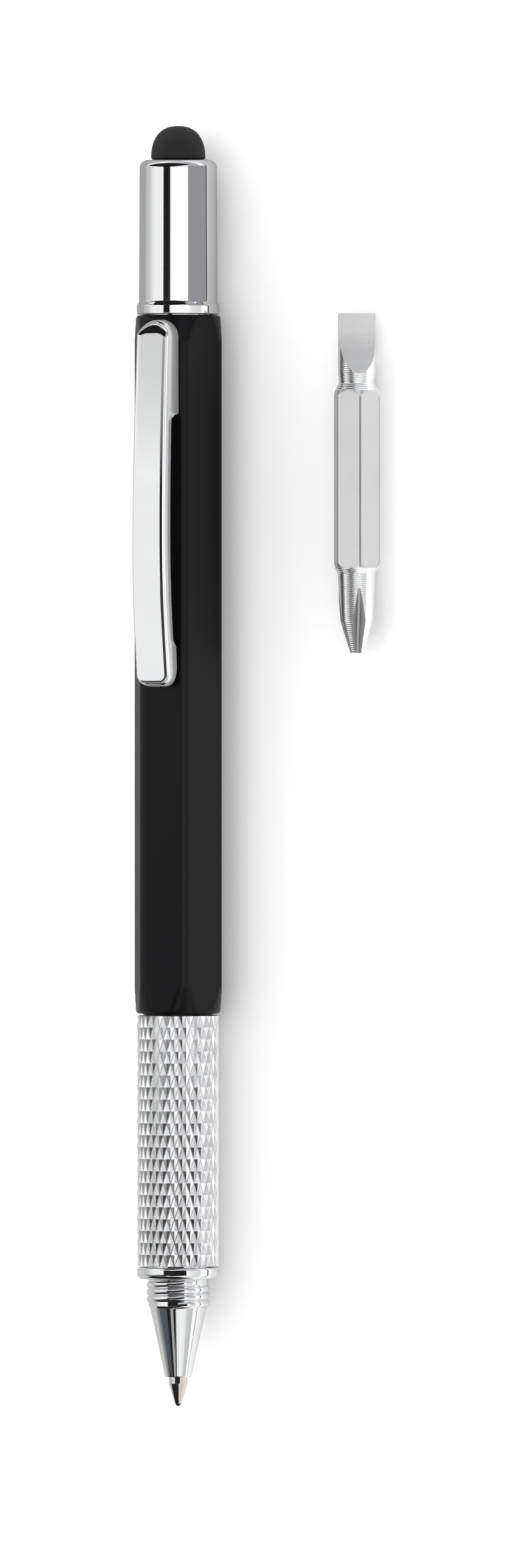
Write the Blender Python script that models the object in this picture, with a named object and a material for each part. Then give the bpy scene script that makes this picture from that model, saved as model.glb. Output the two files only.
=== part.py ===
"""Multi tool pen: a six-sided ball pen with a stylus cap, a spring clip and a loose two-ended bit.

The pen lies along Y on one flat of its barrel, with the clip up and the writing point towards -Y.
The origin is the middle of the flat that it rests on. Stations along the pen are values of y, and
every piece of the pen is drawn about the pen's own axis, which is the local Y axis of an empty.
"""
import math

import bmesh
import bpy
from mathutils import Vector

MM = 0.001

# Clearances, and how finely round forms are drawn
FIT_GAP = 0.10 * MM
SEAT_GAP = 0.10 * MM
RUNNING_GAP = 0.10 * MM
CUT_OVERRUN = 0.6 * MM
MERGE_DISTANCE = 0.0001 * MM
ROUND_STEPS = 36
SMALL_ROUND_STEPS = 24
ARC_STEPS = 2
FILLET_LIMIT_SHARE = 0.45

# Barrel: a rounded hexagon whose corners are turned down towards both ends
BARREL_LENGTH = 81.8 * MM
BARREL_ACROSS_FLATS = 9.7 * MM
BARREL_CORNER_ROUND = 1.05 * MM
BARREL_BORE = 7.9 * MM
TURNED_LENGTH = 3.35 * MM
TURNED_STEP = 0.08 * MM
BARREL_RIM_ROUND = 0.35 * MM
TURNED_RUN_OUT_SHARE = 1.25

# Bit holder: spigot in the barrel's bore, threaded stud above it and the bit's socket down both
STUD_LENGTH = 5.2 * MM
STUD_CHAMFER = 0.35 * MM
STUD_UNDERCUT = 1.6 * MM
SOCKET_GAP = 0.1 * MM
SOCKET_FLOOR = 0.9 * MM
HOLDER_END_ROUND = 0.3 * MM
HOLDER_INSET = 0.2 * MM
MAGNET_LENGTH = 0.9 * MM

# One thread serves the stud and the nose, so that the cap screws onto either
THREAD_ROOT_DIAMETER = 6.92 * MM
THREAD_CREST_DIAMETER = 7.37 * MM
THREAD_PITCH = 0.95 * MM
THREAD_TURNS = 3
THREAD_FLANK_SHARE = 0.3

# Cap: chrome shell with a flanged mouth, inner liner and the rubber stylus tip on its end
CAP_LENGTH = 18.1 * MM
CAP_FLANGE_LENGTH = 1.05 * MM
CAP_FLANGE_STEP = 0.005 * MM
CAP_FLARE_LENGTH = 0.42 * MM
CAP_MOUTH_DIAMETER = 9.2 * MM
CAP_TOP_DIAMETER = 9.06 * MM
CAP_SHELL_WALL = 0.4 * MM
CAP_TOP_WALL = 0.8 * MM
CAP_EDGE_ROUND = 0.9 * MM
CAP_EDGE_STEPS = 4
CAP_MOUTH_ROUND = 0.15 * MM
LINER_TOP_WALL = 1.0 * MM
LINER_INSET = 0.3 * MM
LINER_BORE = 6.6 * MM
LINER_THREAD_GAP = 0.12 * MM
LINER_THREAD_RELIEF = 0.45 * MM
STYLUS_DIAMETER = 6.37 * MM
STYLUS_HEIGHT = 3.9 * MM
STYLUS_WALL = 0.9 * MM
STYLUS_STEM_DIAMETER = 3.8 * MM
STYLUS_STEM_BORE = 2.2 * MM
STYLUS_SEAT_DEPTH = 0.5 * MM
STYLUS_ROUNDNESS_SHARE = 2.4
STYLUS_DOME_STEPS = 7
STYLUS_HOLLOW_STEPS = 4
POST_HEAD_LENGTH = 0.6 * MM
POST_HEAD_STEP = 0.35 * MM

# Clip: a bowed channel pressed from sheet, hooked through a slot in the barrel
CLIP_LENGTH = 42.7 * MM
CLIP_TOP_INSET = 0.7 * MM
CLIP_ROOT_WIDTH = 3.9 * MM
CLIP_END_WIDTH = 4.18 * MM
CLIP_SHEET = 0.45 * MM
CLIP_EDGE_ROUND = 0.35 * MM
CLIP_TOP_ROUND = 1.2 * MM
CLIP_LOW_ROUND = 0.8 * MM
CLIP_EDGE_STEPS = 3
CLIP_END_CORNER = 1.2 * MM
CLIP_ROOT_RISE = 3.2 * MM
CLIP_CROWN_RISE = 4.51 * MM
CLIP_END_RISE = 2.95 * MM
CLIP_FLANGE_DEPTH = 1.65 * MM
CLIP_SEAT_GAP = 0.15 * MM
CLIP_FOOT_LENGTH = 10.8 * MM
CLIP_FOOT_STEP = 0.5 * MM
CLIP_NUB_INSET = 0.7 * MM
CLIP_NUB_LENGTH = 4.6 * MM
CLIP_CROWN_SHARE = 0.387
CLIP_NUB_EDGE_SHARE = 0.3
CLIP_ARM_STATIONS = 9
CLIP_NUB_STATIONS = 8
CLIP_FOOT_STATIONS = 3
CLIP_TOP_ARC_STEPS = 5
CLIP_TOP_ARC_DEGREES = 80
CLIP_CORNER_STEPS = 4
TONGUE_INSET = 2.3 * MM
TONGUE_WIDTH = 2.4 * MM
TONGUE_SHEET = 1.0 * MM
HOOK_REACH = 0.9 * MM
HOOK_SHEET = 0.45 * MM
TONGUE_GAP = 0.15 * MM

# Grip: a knurled metal sleeve that is twisted against the barrel
GRIP_LENGTH = 29.4 * MM
GRIP_TURNING_GAP = 0.2 * MM
GRIP_STEP = 0.01 * MM
KNURL_DEPTH = 0.39 * MM
KNURL_ROW_PITCH = 1.415 * MM
KNURL_END_CHAMFER = 0.25 * MM
KNURL_COLUMNS = 32
GRIP_WAIST_BORE = 4.8 * MM

# Nose: spigot in the grip, collar, thread and cone in one piece
COLLAR_STEP = 0.05 * MM
COLLAR_LENGTH = 1.4 * MM
COLLAR_ROUND = 0.35 * MM
COLLAR_TOP_ROUND = 0.12 * MM
NOSE_THREAD_LENGTH = 3.35 * MM
NOSE_UNDERCUT = 0.35 * MM
CONE_LENGTH = 8.15 * MM
CONE_TOP_DIAMETER = 6.6 * MM
CONE_END_DIAMETER = 3.06 * MM
CONE_END_ROUND = 0.15 * MM
SPIGOT_DIAMETER = 7.0 * MM
SPIGOT_LENGTH = 10.0 * MM
SPIGOT_CHAMFER = 0.3 * MM
NOSE_BORE = 3.2 * MM
NOSE_EXIT_LENGTH = 3.5 * MM
NOSE_EXIT_GAP = 0.17 * MM
NOSE_BORE_LEAD = 0.4 * MM

# Refill: tube, writing point and ball
REFILL_LENGTH = 67.0 * MM
REFILL_DIAMETER = 2.35 * MM
REFILL_TUBE_WALL = 0.32 * MM
INK_HEADROOM = 12.0 * MM
POINT_EXPOSED = 3.4 * MM
POINT_LENGTH = 8.5 * MM
POINT_DIAMETER = 2.15 * MM
POINT_SHOULDER = 0.75 * MM
POINT_PLUG_LENGTH = 3.0 * MM
POINT_RIM_DIAMETER = 0.92 * MM
BALL_DIAMETER = 0.7 * MM
BALL_GAP = 0.04 * MM
BALL_EXPOSED_SHARE = 0.45
BALL_STEPS = 6

# Twist mechanism: cam tube in the barrel, slotted drive tube on the grip, lugged carrier
CAM_INSET = 1.0 * MM
CAM_WALL = 0.55 * MM
CAM_HEAD = 5.0 * MM
DRIVE_WALL = 0.8 * MM
DRIVE_SEAT_LENGTH = 10.0 * MM
DRIVE_HEAD = 1.4 * MM
RETAINER_LENGTH = 0.6 * MM
RETAINER_SEAT_DEPTH = 0.25 * MM
RETAINER_MOUTH = 2.0 * MM
CARRIER_GRIP_LENGTH = 5.0 * MM
CARRIER_HEAD = 3.0 * MM
CARRIER_ROUND = 0.4 * MM
LUG_RISE = 2.8 * MM
LUG_DIAMETER = 1.0 * MM
LUG_GAP = 0.12 * MM
REFILL_TRAVEL = 5.0 * MM
TWIST_DEGREES = 180
CAM_SLOT_STEPS = 15

# Screwdriver bit: a hexagon with a flat blade on one end and a cross point on the other
BIT_LENGTH = 39.7 * MM
BIT_ACROSS_FLATS = 5.0 * MM
BIT_CORNER_ROUND = 0.12 * MM
BIT_BLADE_LENGTH = 9.7 * MM
BIT_CROSS_LENGTH = 10.6 * MM
BLADE_SHANK_DIAMETER = 4.37 * MM
BLADE_NECK_DIAMETER = 4.1 * MM
BLADE_TIP_THICKNESS = 0.7 * MM
BLADE_GROUND_LENGTH = 7.1 * MM
BLADE_EDGE_ROUND = 0.08 * MM
CROSS_SHANK_DIAMETER = 4.4 * MM
CROSS_NECK_DIAMETER = 3.96 * MM
CROSS_CONE_LENGTH = 3.75 * MM
CROSS_TIP_DIAMETER = 1.6 * MM
CROSS_TIP_ROUND = 0.12 * MM
FLUTE_LENGTH = 7.9 * MM
FLUTE_TIP_DEPTH = 0.35 * MM
FLUTE_HALF_ANGLE = 50
FLUTE_COUNT = 4
BIT_FLARE_SLOPE_SHARE = 0.54
BIT_FACING = math.pi / 3
BIT_END_GAP = 0.5 * MM
BIT_ASIDE = 21.6 * MM
BIT_ALONG = 21.15 * MM

# Stations along the pen, from the barrel's middle
AXIS_HEIGHT = BARREL_ACROSS_FLATS / 2
BARREL_TOP = BARREL_LENGTH / 2
BARREL_BOTTOM = -BARREL_LENGTH / 2
STUD_LOW = BARREL_TOP - HOLDER_INSET
STUD_TOP = BARREL_TOP + STUD_LENGTH
CAP_MOUTH = BARREL_TOP + SEAT_GAP
CAP_TOP = CAP_MOUTH + CAP_LENGTH
CAP_INNER_TOP = CAP_TOP - CAP_TOP_WALL
LINER_TOP = CAP_INNER_TOP - SEAT_GAP
LINER_CEILING = LINER_TOP - LINER_TOP_WALL
BIT_SEAT = LINER_CEILING - BIT_END_GAP - BIT_LENGTH
MAGNET_TOP = BIT_SEAT - SEAT_GAP
MAGNET_LOW = MAGNET_TOP - MAGNET_LENGTH
SOCKET_LOW = MAGNET_LOW - SEAT_GAP
HOLDER_LOW = SOCKET_LOW - SOCKET_FLOOR
GRIP_TOP = BARREL_BOTTOM - GRIP_TURNING_GAP
GRIP_BOTTOM = GRIP_TOP - GRIP_LENGTH
COLLAR_TOP = GRIP_BOTTOM - SEAT_GAP
COLLAR_LOW = COLLAR_TOP - COLLAR_LENGTH
CONE_TOP = COLLAR_LOW - NOSE_THREAD_LENGTH
CONE_END = CONE_TOP - CONE_LENGTH
SPIGOT_TOP = COLLAR_TOP + SPIGOT_LENGTH
POINT_END = CONE_END - POINT_EXPOSED
REFILL_TOP = POINT_END + REFILL_LENGTH
POINT_SHOULDER_TOP = POINT_END + POINT_LENGTH
CARRIER_FLOOR = REFILL_TOP + SEAT_GAP
LUG_STATION = CARRIER_FLOOR + LUG_RISE
CAM_TOP = LUG_STATION + REFILL_TRAVEL + CAM_HEAD
CAM_BOTTOM = BARREL_BOTTOM + CAM_INSET
DRIVE_TOP = CAM_TOP + DRIVE_HEAD
DRIVE_BOTTOM = GRIP_TOP - DRIVE_SEAT_LENGTH
CLIP_TOP = BARREL_TOP - CLIP_TOP_INSET
CLIP_END = CLIP_TOP - CLIP_LENGTH
TONGUE_STATION = CLIP_TOP - TONGUE_INSET

# Radii that follow from the sizes above
BORE_RADIUS = BARREL_BORE / 2
SPIGOT_IN_BARREL_RADIUS = BORE_RADIUS - FIT_GAP
CAP_FLANGE_RADIUS = AXIS_HEIGHT - CAP_FLANGE_STEP
GRIP_RADIUS = AXIS_HEIGHT - GRIP_STEP
COLLAR_RADIUS = AXIS_HEIGHT - COLLAR_STEP
THREAD_ROOT_RADIUS = THREAD_ROOT_DIAMETER / 2
THREAD_CREST_RADIUS = THREAD_CREST_DIAMETER / 2
SOCKET_ACROSS_FLATS = BIT_ACROSS_FLATS + 2 * SOCKET_GAP
CAM_OUTER_RADIUS = BORE_RADIUS - FIT_GAP
CAM_INNER_RADIUS = CAM_OUTER_RADIUS - CAM_WALL
DRIVE_OUTER_RADIUS = CAM_INNER_RADIUS - RUNNING_GAP
DRIVE_INNER_RADIUS = DRIVE_OUTER_RADIUS - DRIVE_WALL
CARRIER_RADIUS = DRIVE_INNER_RADIUS - RUNNING_GAP
REFILL_RADIUS = REFILL_DIAMETER / 2
POINT_RADIUS = POINT_DIAMETER / 2
BARREL_CORNER_REACH = (AXIS_HEIGHT - BARREL_CORNER_ROUND) / math.cos(math.pi / 6) + BARREL_CORNER_ROUND
HOOK_TOP = math.sqrt(BORE_RADIUS ** 2 - (TONGUE_WIDTH / 2) ** 2) - TONGUE_GAP
HOOK_LOW = HOOK_TOP - HOOK_SHEET
CLIP_PIVOT = Vector((0, TONGUE_STATION, (AXIS_HEIGHT + BORE_RADIUS) / 2))


def clear_scene():
    """Start from an empty scene."""
    for thing in list(bpy.data.objects):
        bpy.data.objects.remove(thing)


def finish(name, colour, roughness, metallic=0.0):
    """A plain material with one colour, roughness and metallic value."""
    material = bpy.data.materials.new(name)
    material.use_nodes = True
    shader = material.node_tree.nodes["Principled BSDF"]
    shader.inputs["Base Color"].default_value = (*colour, 1)
    shader.inputs["Roughness"].default_value = roughness
    shader.inputs["Metallic"].default_value = metallic
    material.diffuse_color = (*colour, 1)
    return material


def empty(name, location=(0, 0, 0), parent=None):
    """An empty that carries one moving group of pieces."""
    carrier = bpy.data.objects.new(name, None)
    carrier.empty_display_size = BARREL_ACROSS_FLATS
    carrier.location = location
    carrier.parent = parent
    bpy.context.collection.objects.link(carrier)
    return carrier


def solid(name, bm, parent, material=None, offset=(0, 0, 0)):
    """Make an object from a bmesh, with clean outward faces and smooth round sides."""
    bmesh.ops.remove_doubles(bm, verts=bm.verts, dist=MERGE_DISTANCE)
    bmesh.ops.recalc_face_normals(bm, faces=bm.faces)
    mesh = bpy.data.meshes.new(name)
    bm.to_mesh(mesh)
    bm.free()
    mesh.shade_smooth()
    mesh.set_sharp_from_angle(angle=math.radians(35))
    piece = bpy.data.objects.new(name, mesh)
    piece.parent = parent
    piece.location = offset
    bpy.context.collection.objects.link(piece)
    if material:
        mesh.materials.append(material)
    return piece


def boolean(piece, tool, operation="DIFFERENCE"):
    """Cut, join or trim a piece with a hidden tool that shares its frame."""
    tool.hide_render = True
    tool.display_type = "WIRE"
    change = piece.modifiers.new(tool.name, "BOOLEAN")
    change.operation = operation
    change.solver = "EXACT"
    change.object = tool


def softened(corners, steps=ARC_STEPS):
    """Points of an outline given as (across, along, round), with an arc at each rounded corner."""
    points = []
    for i, (across, along, rounding) in enumerate(corners):
        here = Vector((across, along))
        if not rounding:
            points.append(here)
            continue
        to_last = Vector(corners[i - 1][:2]) - here
        to_next = Vector(corners[(i + 1) % len(corners)][:2]) - here
        half_angle = to_last.angle(to_next) / 2
        limit = FILLET_LIMIT_SHARE * min(to_last.length, to_next.length)
        tangent = min(rounding / math.tan(half_angle), limit)
        radius = tangent * math.tan(half_angle)
        towards_centre = (to_last.normalized() + to_next.normalized()).normalized()
        centre = here + towards_centre * radius / math.sin(half_angle)
        first = here + to_last.normalized() * tangent - centre
        last = here + to_next.normalized() * tangent - centre
        swing = math.atan2(first.x * last.y - first.y * last.x, first.dot(last))
        for step in range(steps + 1):
            turn = swing * step / steps
            across_arm = first.x * math.cos(turn) - first.y * math.sin(turn)
            along_arm = first.x * math.sin(turn) + first.y * math.cos(turn)
            points.append(centre + Vector((across_arm, along_arm)))
    return points


def turned(name, corners, parent, material=None, steps=ROUND_STEPS, arc_steps=ARC_STEPS):
    """Spin a closed (radius, y, round) outline about the pen's axis."""
    bm = bmesh.new()
    points = softened(corners, arc_steps)
    verts = [bm.verts.new((0, along, radius)) for radius, along in points]
    edges = [bm.edges.new((verts[i - 1], verts[i])) for i in range(1, len(verts))]
    if points[0][0] or points[-1][0]:
        edges.append(bm.edges.new((verts[-1], verts[0])))
    bmesh.ops.spin(bm, geom=verts + edges, cent=(0, 0, 0), axis=(0, 1, 0), angle=2 * math.pi,
                   steps=steps, use_merge=True)
    return solid(name, bm, parent, material)


def extruded(name, outline, vector, parent, material=None):
    """Extrude a closed outline of 3-D points along a vector."""
    bm = bmesh.new()
    face = bm.faces.new([bm.verts.new(point) for point in outline])
    grown = bmesh.ops.extrude_face_region(bm, geom=[face])
    top = [item for item in grown["geom"] if isinstance(item, bmesh.types.BMVert)]
    bmesh.ops.translate(bm, verts=top, vec=vector)
    return solid(name, bm, parent, material)


def prism(name, outline, low, high, parent, material=None):
    """An (x, z) outline carried along the pen from one station to another."""
    return extruded(name, [(x, low, z) for x, z in outline], (0, high - low, 0), parent, material)


def box(name, low, high, parent):
    """A box between two corners, used as a cutting tool."""
    outline = [(low[0], low[1]), (high[0], low[1]), (high[0], high[1]), (low[0], high[1])]
    return extruded(name, [(x, y, low[2]) for x, y in outline], (0, 0, high[2] - low[2]), parent)


def hexagon(across_flats, corner_round):
    """An (x, z) hexagon with a flat above and below, and rounded corners."""
    reach = across_flats / 2 / math.cos(math.pi / 6)
    corners = [(reach * math.cos(math.pi * k / 3), reach * math.sin(math.pi * k / 3), corner_round)
               for k in range(6)]
    return softened(corners)


def thread_ridges(start, direction):
    """Corners of a short run of thread, drawn as rings, going from start along the axis."""
    corners = []
    flank = THREAD_PITCH * THREAD_FLANK_SHARE
    for turn in range(THREAD_TURNS):
        low = start + direction * turn * THREAD_PITCH
        corners.append((THREAD_ROOT_RADIUS, low, 0))
        corners.append((THREAD_CREST_RADIUS, low + direction * flank, 0))
        corners.append((THREAD_ROOT_RADIUS, low + direction * 2 * flank, 0))
    return corners


def stitched(bm, rings, ring_closed=True, split=None):
    """Join rings of vertices, each to the next, with faces."""
    for row in range(len(rings) - 1):
        low, high = rings[row], rings[row + 1]
        count = len(low)
        for column in range(count if ring_closed else count - 1):
            beside = (column + 1) % count
            corners = [low[column], low[beside], high[beside], high[column]]
            if split is None:
                bm.faces.new(corners)
            elif split(row, column):
                bm.faces.new([corners[0], corners[1], corners[2]])
                bm.faces.new([corners[0], corners[2], corners[3]])
            else:
                bm.faces.new([corners[0], corners[1], corners[3]])
                bm.faces.new([corners[1], corners[2], corners[3]])


def make_barrel(axis):
    """Tube turned with sloping end zones, then trimmed to a rounded hexagon."""
    slope_length = TURNED_LENGTH * TURNED_RUN_OUT_SHARE
    end_radius = AXIS_HEIGHT + TURNED_STEP
    full_radius = end_radius + (BARREL_CORNER_REACH - end_radius) * TURNED_RUN_OUT_SHARE
    barrel = turned("barrel", [
        (BORE_RADIUS, BARREL_BOTTOM, 0),
        (end_radius, BARREL_BOTTOM, BARREL_RIM_ROUND),
        (full_radius, BARREL_BOTTOM + slope_length, 0),
        (full_radius, BARREL_TOP - slope_length, 0),
        (end_radius, BARREL_TOP, BARREL_RIM_ROUND),
        (BORE_RADIUS, BARREL_TOP, 0),
    ], axis, finish("barrel", (0.012, 0.012, 0.013), 0.28))
    flats = prism("barrel_flats", hexagon(BARREL_ACROSS_FLATS, BARREL_CORNER_ROUND),
                  BARREL_BOTTOM - CUT_OVERRUN, BARREL_TOP + CUT_OVERRUN, axis)
    boolean(barrel, flats, "INTERSECT")
    half_slot = TONGUE_SHEET / 2 + TONGUE_GAP
    half_width = TONGUE_WIDTH / 2 + TONGUE_GAP
    slot = box("clip_slot", (-half_width, TONGUE_STATION - half_slot, HOOK_TOP - CUT_OVERRUN),
               (half_width, TONGUE_STATION + half_slot, AXIS_HEIGHT + CUT_OVERRUN), axis)
    boolean(barrel, slot)
    return barrel


def make_bit_holder(axis):
    """Threaded stud above the barrel and spigot inside it, with the bit's socket down both."""
    stud_radius = THREAD_ROOT_RADIUS - STUD_CHAMFER
    holder = turned("bit_holder", [
        (0, HOLDER_LOW, 0),
        (SPIGOT_IN_BARREL_RADIUS, HOLDER_LOW, HOLDER_END_ROUND),
        (SPIGOT_IN_BARREL_RADIUS, STUD_LOW, 0),
        (THREAD_ROOT_RADIUS, STUD_LOW, 0),
        *thread_ridges(BARREL_TOP + STUD_UNDERCUT, 1),
        (THREAD_ROOT_RADIUS, STUD_TOP - STUD_CHAMFER, 0),
        (stud_radius, STUD_TOP, 0),
        (0, STUD_TOP, 0),
    ], axis, finish("bit_holder", (0.74, 0.74, 0.75), 0.12, 1.0))
    socket = prism("bit_socket", hexagon(SOCKET_ACROSS_FLATS, BIT_CORNER_ROUND), SOCKET_LOW,
                   STUD_TOP + CUT_OVERRUN, axis)
    boolean(holder, socket)
    half_width = TONGUE_WIDTH / 2 + TONGUE_GAP
    relief_low = TONGUE_STATION - TONGUE_SHEET / 2 - TONGUE_GAP
    relief_high = TONGUE_STATION + TONGUE_SHEET / 2 + HOOK_REACH + TONGUE_GAP
    relief = box("hook_relief", (-half_width, relief_low, HOOK_LOW - TONGUE_GAP),
                 (half_width, relief_high, BORE_RADIUS + CUT_OVERRUN), axis)
    boolean(holder, relief)
    return holder


def make_magnet(axis):
    """Disc magnet at the bottom of the bit's socket."""
    radius = BIT_ACROSS_FLATS / 2 - SOCKET_GAP
    return turned("holder_magnet", [
        (0, MAGNET_LOW, 0), (radius, MAGNET_LOW, 0), (radius, MAGNET_TOP, 0), (0, MAGNET_TOP, 0),
    ], axis, finish("holder_magnet", (0.35, 0.35, 0.36), 0.35, 1.0), SMALL_ROUND_STEPS)


def make_cap_shell(axis):
    """Slightly tapered chrome cup: flanged at its mouth, with a hole on top for the stylus stem."""
    flange_top = CAP_MOUTH + CAP_FLANGE_LENGTH
    bore = CAP_MOUTH_DIAMETER / 2 - CAP_SHELL_WALL - (CAP_MOUTH_DIAMETER - CAP_TOP_DIAMETER) / 2
    hole = STYLUS_STEM_DIAMETER / 2 + FIT_GAP
    return turned("cap_shell", [
        (bore, CAP_MOUTH, 0),
        (CAP_FLANGE_RADIUS, CAP_MOUTH, CAP_MOUTH_ROUND),
        (CAP_FLANGE_RADIUS, flange_top, CAP_MOUTH_ROUND),
        (CAP_MOUTH_DIAMETER / 2, flange_top + CAP_FLARE_LENGTH, 0),
        (CAP_TOP_DIAMETER / 2, CAP_TOP, CAP_EDGE_ROUND),
        (hole, CAP_TOP, 0),
        (hole, CAP_INNER_TOP, 0),
        (bore, CAP_INNER_TOP, 0),
    ], axis, finish("cap_shell", (0.78, 0.78, 0.79), 0.07, 1.0), arc_steps=CAP_EDGE_STEPS)


def make_cap_liner(axis):
    """Plastic liner that carries the cap's thread and closes it above the stored bit."""
    outer = CAP_TOP_DIAMETER / 2 - CAP_SHELL_WALL - FIT_GAP
    thread_bore = THREAD_CREST_RADIUS + LINER_THREAD_GAP
    bore = LINER_BORE / 2
    recess = STYLUS_STEM_DIAMETER / 2 + FIT_GAP
    return turned("cap_liner", [
        (0, LINER_CEILING, 0),
        (bore, LINER_CEILING, 0),
        (bore, STUD_TOP + LINER_THREAD_RELIEF, 0),
        (thread_bore, STUD_TOP + LINER_THREAD_RELIEF, 0),
        (thread_bore, CAP_MOUTH + LINER_INSET, 0),
        (outer, CAP_MOUTH + LINER_INSET, 0),
        (outer, LINER_TOP, 0),
        (recess, LINER_TOP, 0),
        (recess, LINER_TOP - STYLUS_SEAT_DEPTH, 0),
        (0, LINER_TOP - STYLUS_SEAT_DEPTH, 0),
    ], axis, finish("cap_liner", (0.03, 0.03, 0.032), 0.5), SMALL_ROUND_STEPS)


def dome(radius, height, base, steps):
    """Corners of a blunt dome, from its rim to its crown."""
    power = 2 / STYLUS_ROUNDNESS_SHARE
    corners = []
    for step in range(steps + 1):
        angle = math.pi / 2 * step / steps
        across = radius * max(math.cos(angle), 0) ** power if step < steps else 0
        corners.append((across, base + height * math.sin(angle) ** power, 0))
    return corners


def make_stylus_tip(axis):
    """Hollow rubber dome with a stem that plugs into the cap's top."""
    base = CAP_TOP + SEAT_GAP
    stem = STYLUS_STEM_DIAMETER / 2
    stem_low = LINER_TOP - STYLUS_SEAT_DEPTH + SEAT_GAP
    hollow = dome(STYLUS_DIAMETER / 2 - STYLUS_WALL, STYLUS_HEIGHT - 2 * STYLUS_WALL,
                  base + STYLUS_WALL, STYLUS_HOLLOW_STEPS)
    return turned("stylus_tip", [
        *reversed(dome(STYLUS_DIAMETER / 2, STYLUS_HEIGHT, base, STYLUS_DOME_STEPS)),
        (stem, base, 0),
        (stem, stem_low, 0),
        (STYLUS_STEM_BORE / 2, stem_low, 0),
        (STYLUS_STEM_BORE / 2, base + STYLUS_WALL, 0),
        *hollow,
    ], axis, finish("stylus_tip", (0.02, 0.02, 0.021), 0.62), SMALL_ROUND_STEPS)


def make_stylus_post(axis):
    """Metal post in the stylus stem, headed inside the dome, which holds the rubber in the cap."""
    low = LINER_TOP - STYLUS_SEAT_DEPTH + SEAT_GAP
    shoulder = CAP_TOP + SEAT_GAP + STYLUS_WALL + SEAT_GAP
    radius = STYLUS_STEM_BORE / 2 - FIT_GAP
    head = radius + POST_HEAD_STEP
    return turned("stylus_post", [
        (0, low, 0), (radius, low, 0), (radius, shoulder, 0), (head, shoulder, 0),
        (head, shoulder + POST_HEAD_LENGTH, 0), (0, shoulder + POST_HEAD_LENGTH, 0),
    ], axis, finish("stylus_post", (0.75, 0.62, 0.35), 0.3, 1.0), SMALL_ROUND_STEPS)


def clip_crown(y):
    """Height of the clip's top face above the pen's axis: a bow that is highest below its middle."""
    crown_station = CLIP_END + CLIP_LENGTH * CLIP_CROWN_SHARE
    if y > crown_station:
        along = min(1, (CLIP_TOP - y) / (CLIP_TOP - crown_station))
        rise = CLIP_ROOT_RISE + (CLIP_CROWN_RISE - CLIP_ROOT_RISE) * math.sin(math.pi / 2 * along)
    else:
        along = min(1, (crown_station - y) / (crown_station - CLIP_END))
        fall = 1 - math.cos(math.pi / 2 * along)
        rise = CLIP_CROWN_RISE - (CLIP_CROWN_RISE - CLIP_END_RISE) * fall
    return AXIS_HEIGHT + rise


def eased(share):
    """A smooth step from 0 to 1."""
    share = min(1, max(0, share))
    return share * share * (3 - 2 * share)


def clip_hem(y):
    """Height of the flanges' lower edge: down on the barrel at the foot and at the nub."""
    seat = AXIS_HEIGHT + CLIP_SEAT_GAP
    arm = clip_crown(y) - CLIP_FLANGE_DEPTH
    foot_low = CLIP_TOP - CLIP_FOOT_LENGTH
    foot = eased((y - foot_low + CLIP_FOOT_STEP) / CLIP_FOOT_STEP)
    nub_low = CLIP_END + CLIP_NUB_INSET
    along = (y - nub_low) / CLIP_NUB_LENGTH
    nub = eased(along / CLIP_NUB_EDGE_SHARE) * eased((1 - along) / CLIP_NUB_EDGE_SHARE)
    return arm + (seat - arm) * max(foot, nub)


def clip_round(y):
    """How round the clip's upper edge is: more at its two ends than along its sides."""
    top_reach = CLIP_ROOT_WIDTH / 2
    top = eased((y - CLIP_TOP + top_reach) / top_reach)
    low = eased((CLIP_END + CLIP_END_CORNER - y) / CLIP_END_CORNER)
    top_extra, low_extra = CLIP_TOP_ROUND - CLIP_EDGE_ROUND, CLIP_LOW_ROUND - CLIP_EDGE_ROUND
    return CLIP_EDGE_ROUND + top_extra * top + low_extra * low


def spaced(low, high, count):
    """Evenly spaced stations, without the last one."""
    return [low + (high - low) * k / count for k in range(count)]


def clip_side(inset_at):
    """The clip's right-hand edge in plan as (x, y, station on the outer edge), drawn inwards."""
    root_half, end_half = CLIP_ROOT_WIDTH / 2, CLIP_END_WIDTH / 2
    corner = min(CLIP_END_CORNER, end_half)
    points = []
    for step in range(CLIP_CORNER_STEPS):
        angle = math.pi / 2 * (step / CLIP_CORNER_STEPS - 1)
        outer = CLIP_END + corner + corner * math.sin(angle)
        reach = corner - inset_at(outer)
        points.append((end_half - corner + reach * math.cos(angle),
                       CLIP_END + corner + reach * math.sin(angle), outer))
    side_low, side_high = CLIP_END + corner, CLIP_TOP - root_half
    nub_high = CLIP_END + CLIP_NUB_INSET + CLIP_NUB_LENGTH
    foot_low = CLIP_TOP - CLIP_FOOT_LENGTH
    stations = spaced(side_low, nub_high, CLIP_NUB_STATIONS)
    stations += spaced(nub_high, foot_low - CLIP_FOOT_STEP, CLIP_ARM_STATIONS)
    stations += spaced(foot_low - CLIP_FOOT_STEP, foot_low, CLIP_FOOT_STATIONS)
    stations += spaced(foot_low, side_high, CLIP_FOOT_STATIONS)
    for y in stations:
        share = (y - side_low) / (side_high - side_low)
        points.append((end_half + (root_half - end_half) * share - inset_at(y), y, y))
    for step in range(CLIP_TOP_ARC_STEPS + 1):
        angle = math.radians(CLIP_TOP_ARC_DEGREES) * step / CLIP_TOP_ARC_STEPS
        outer = side_high + root_half * math.sin(angle)
        reach = root_half - inset_at(outer)
        points.append((reach * math.cos(angle), side_high + reach * math.sin(angle), outer))
    return points


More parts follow.
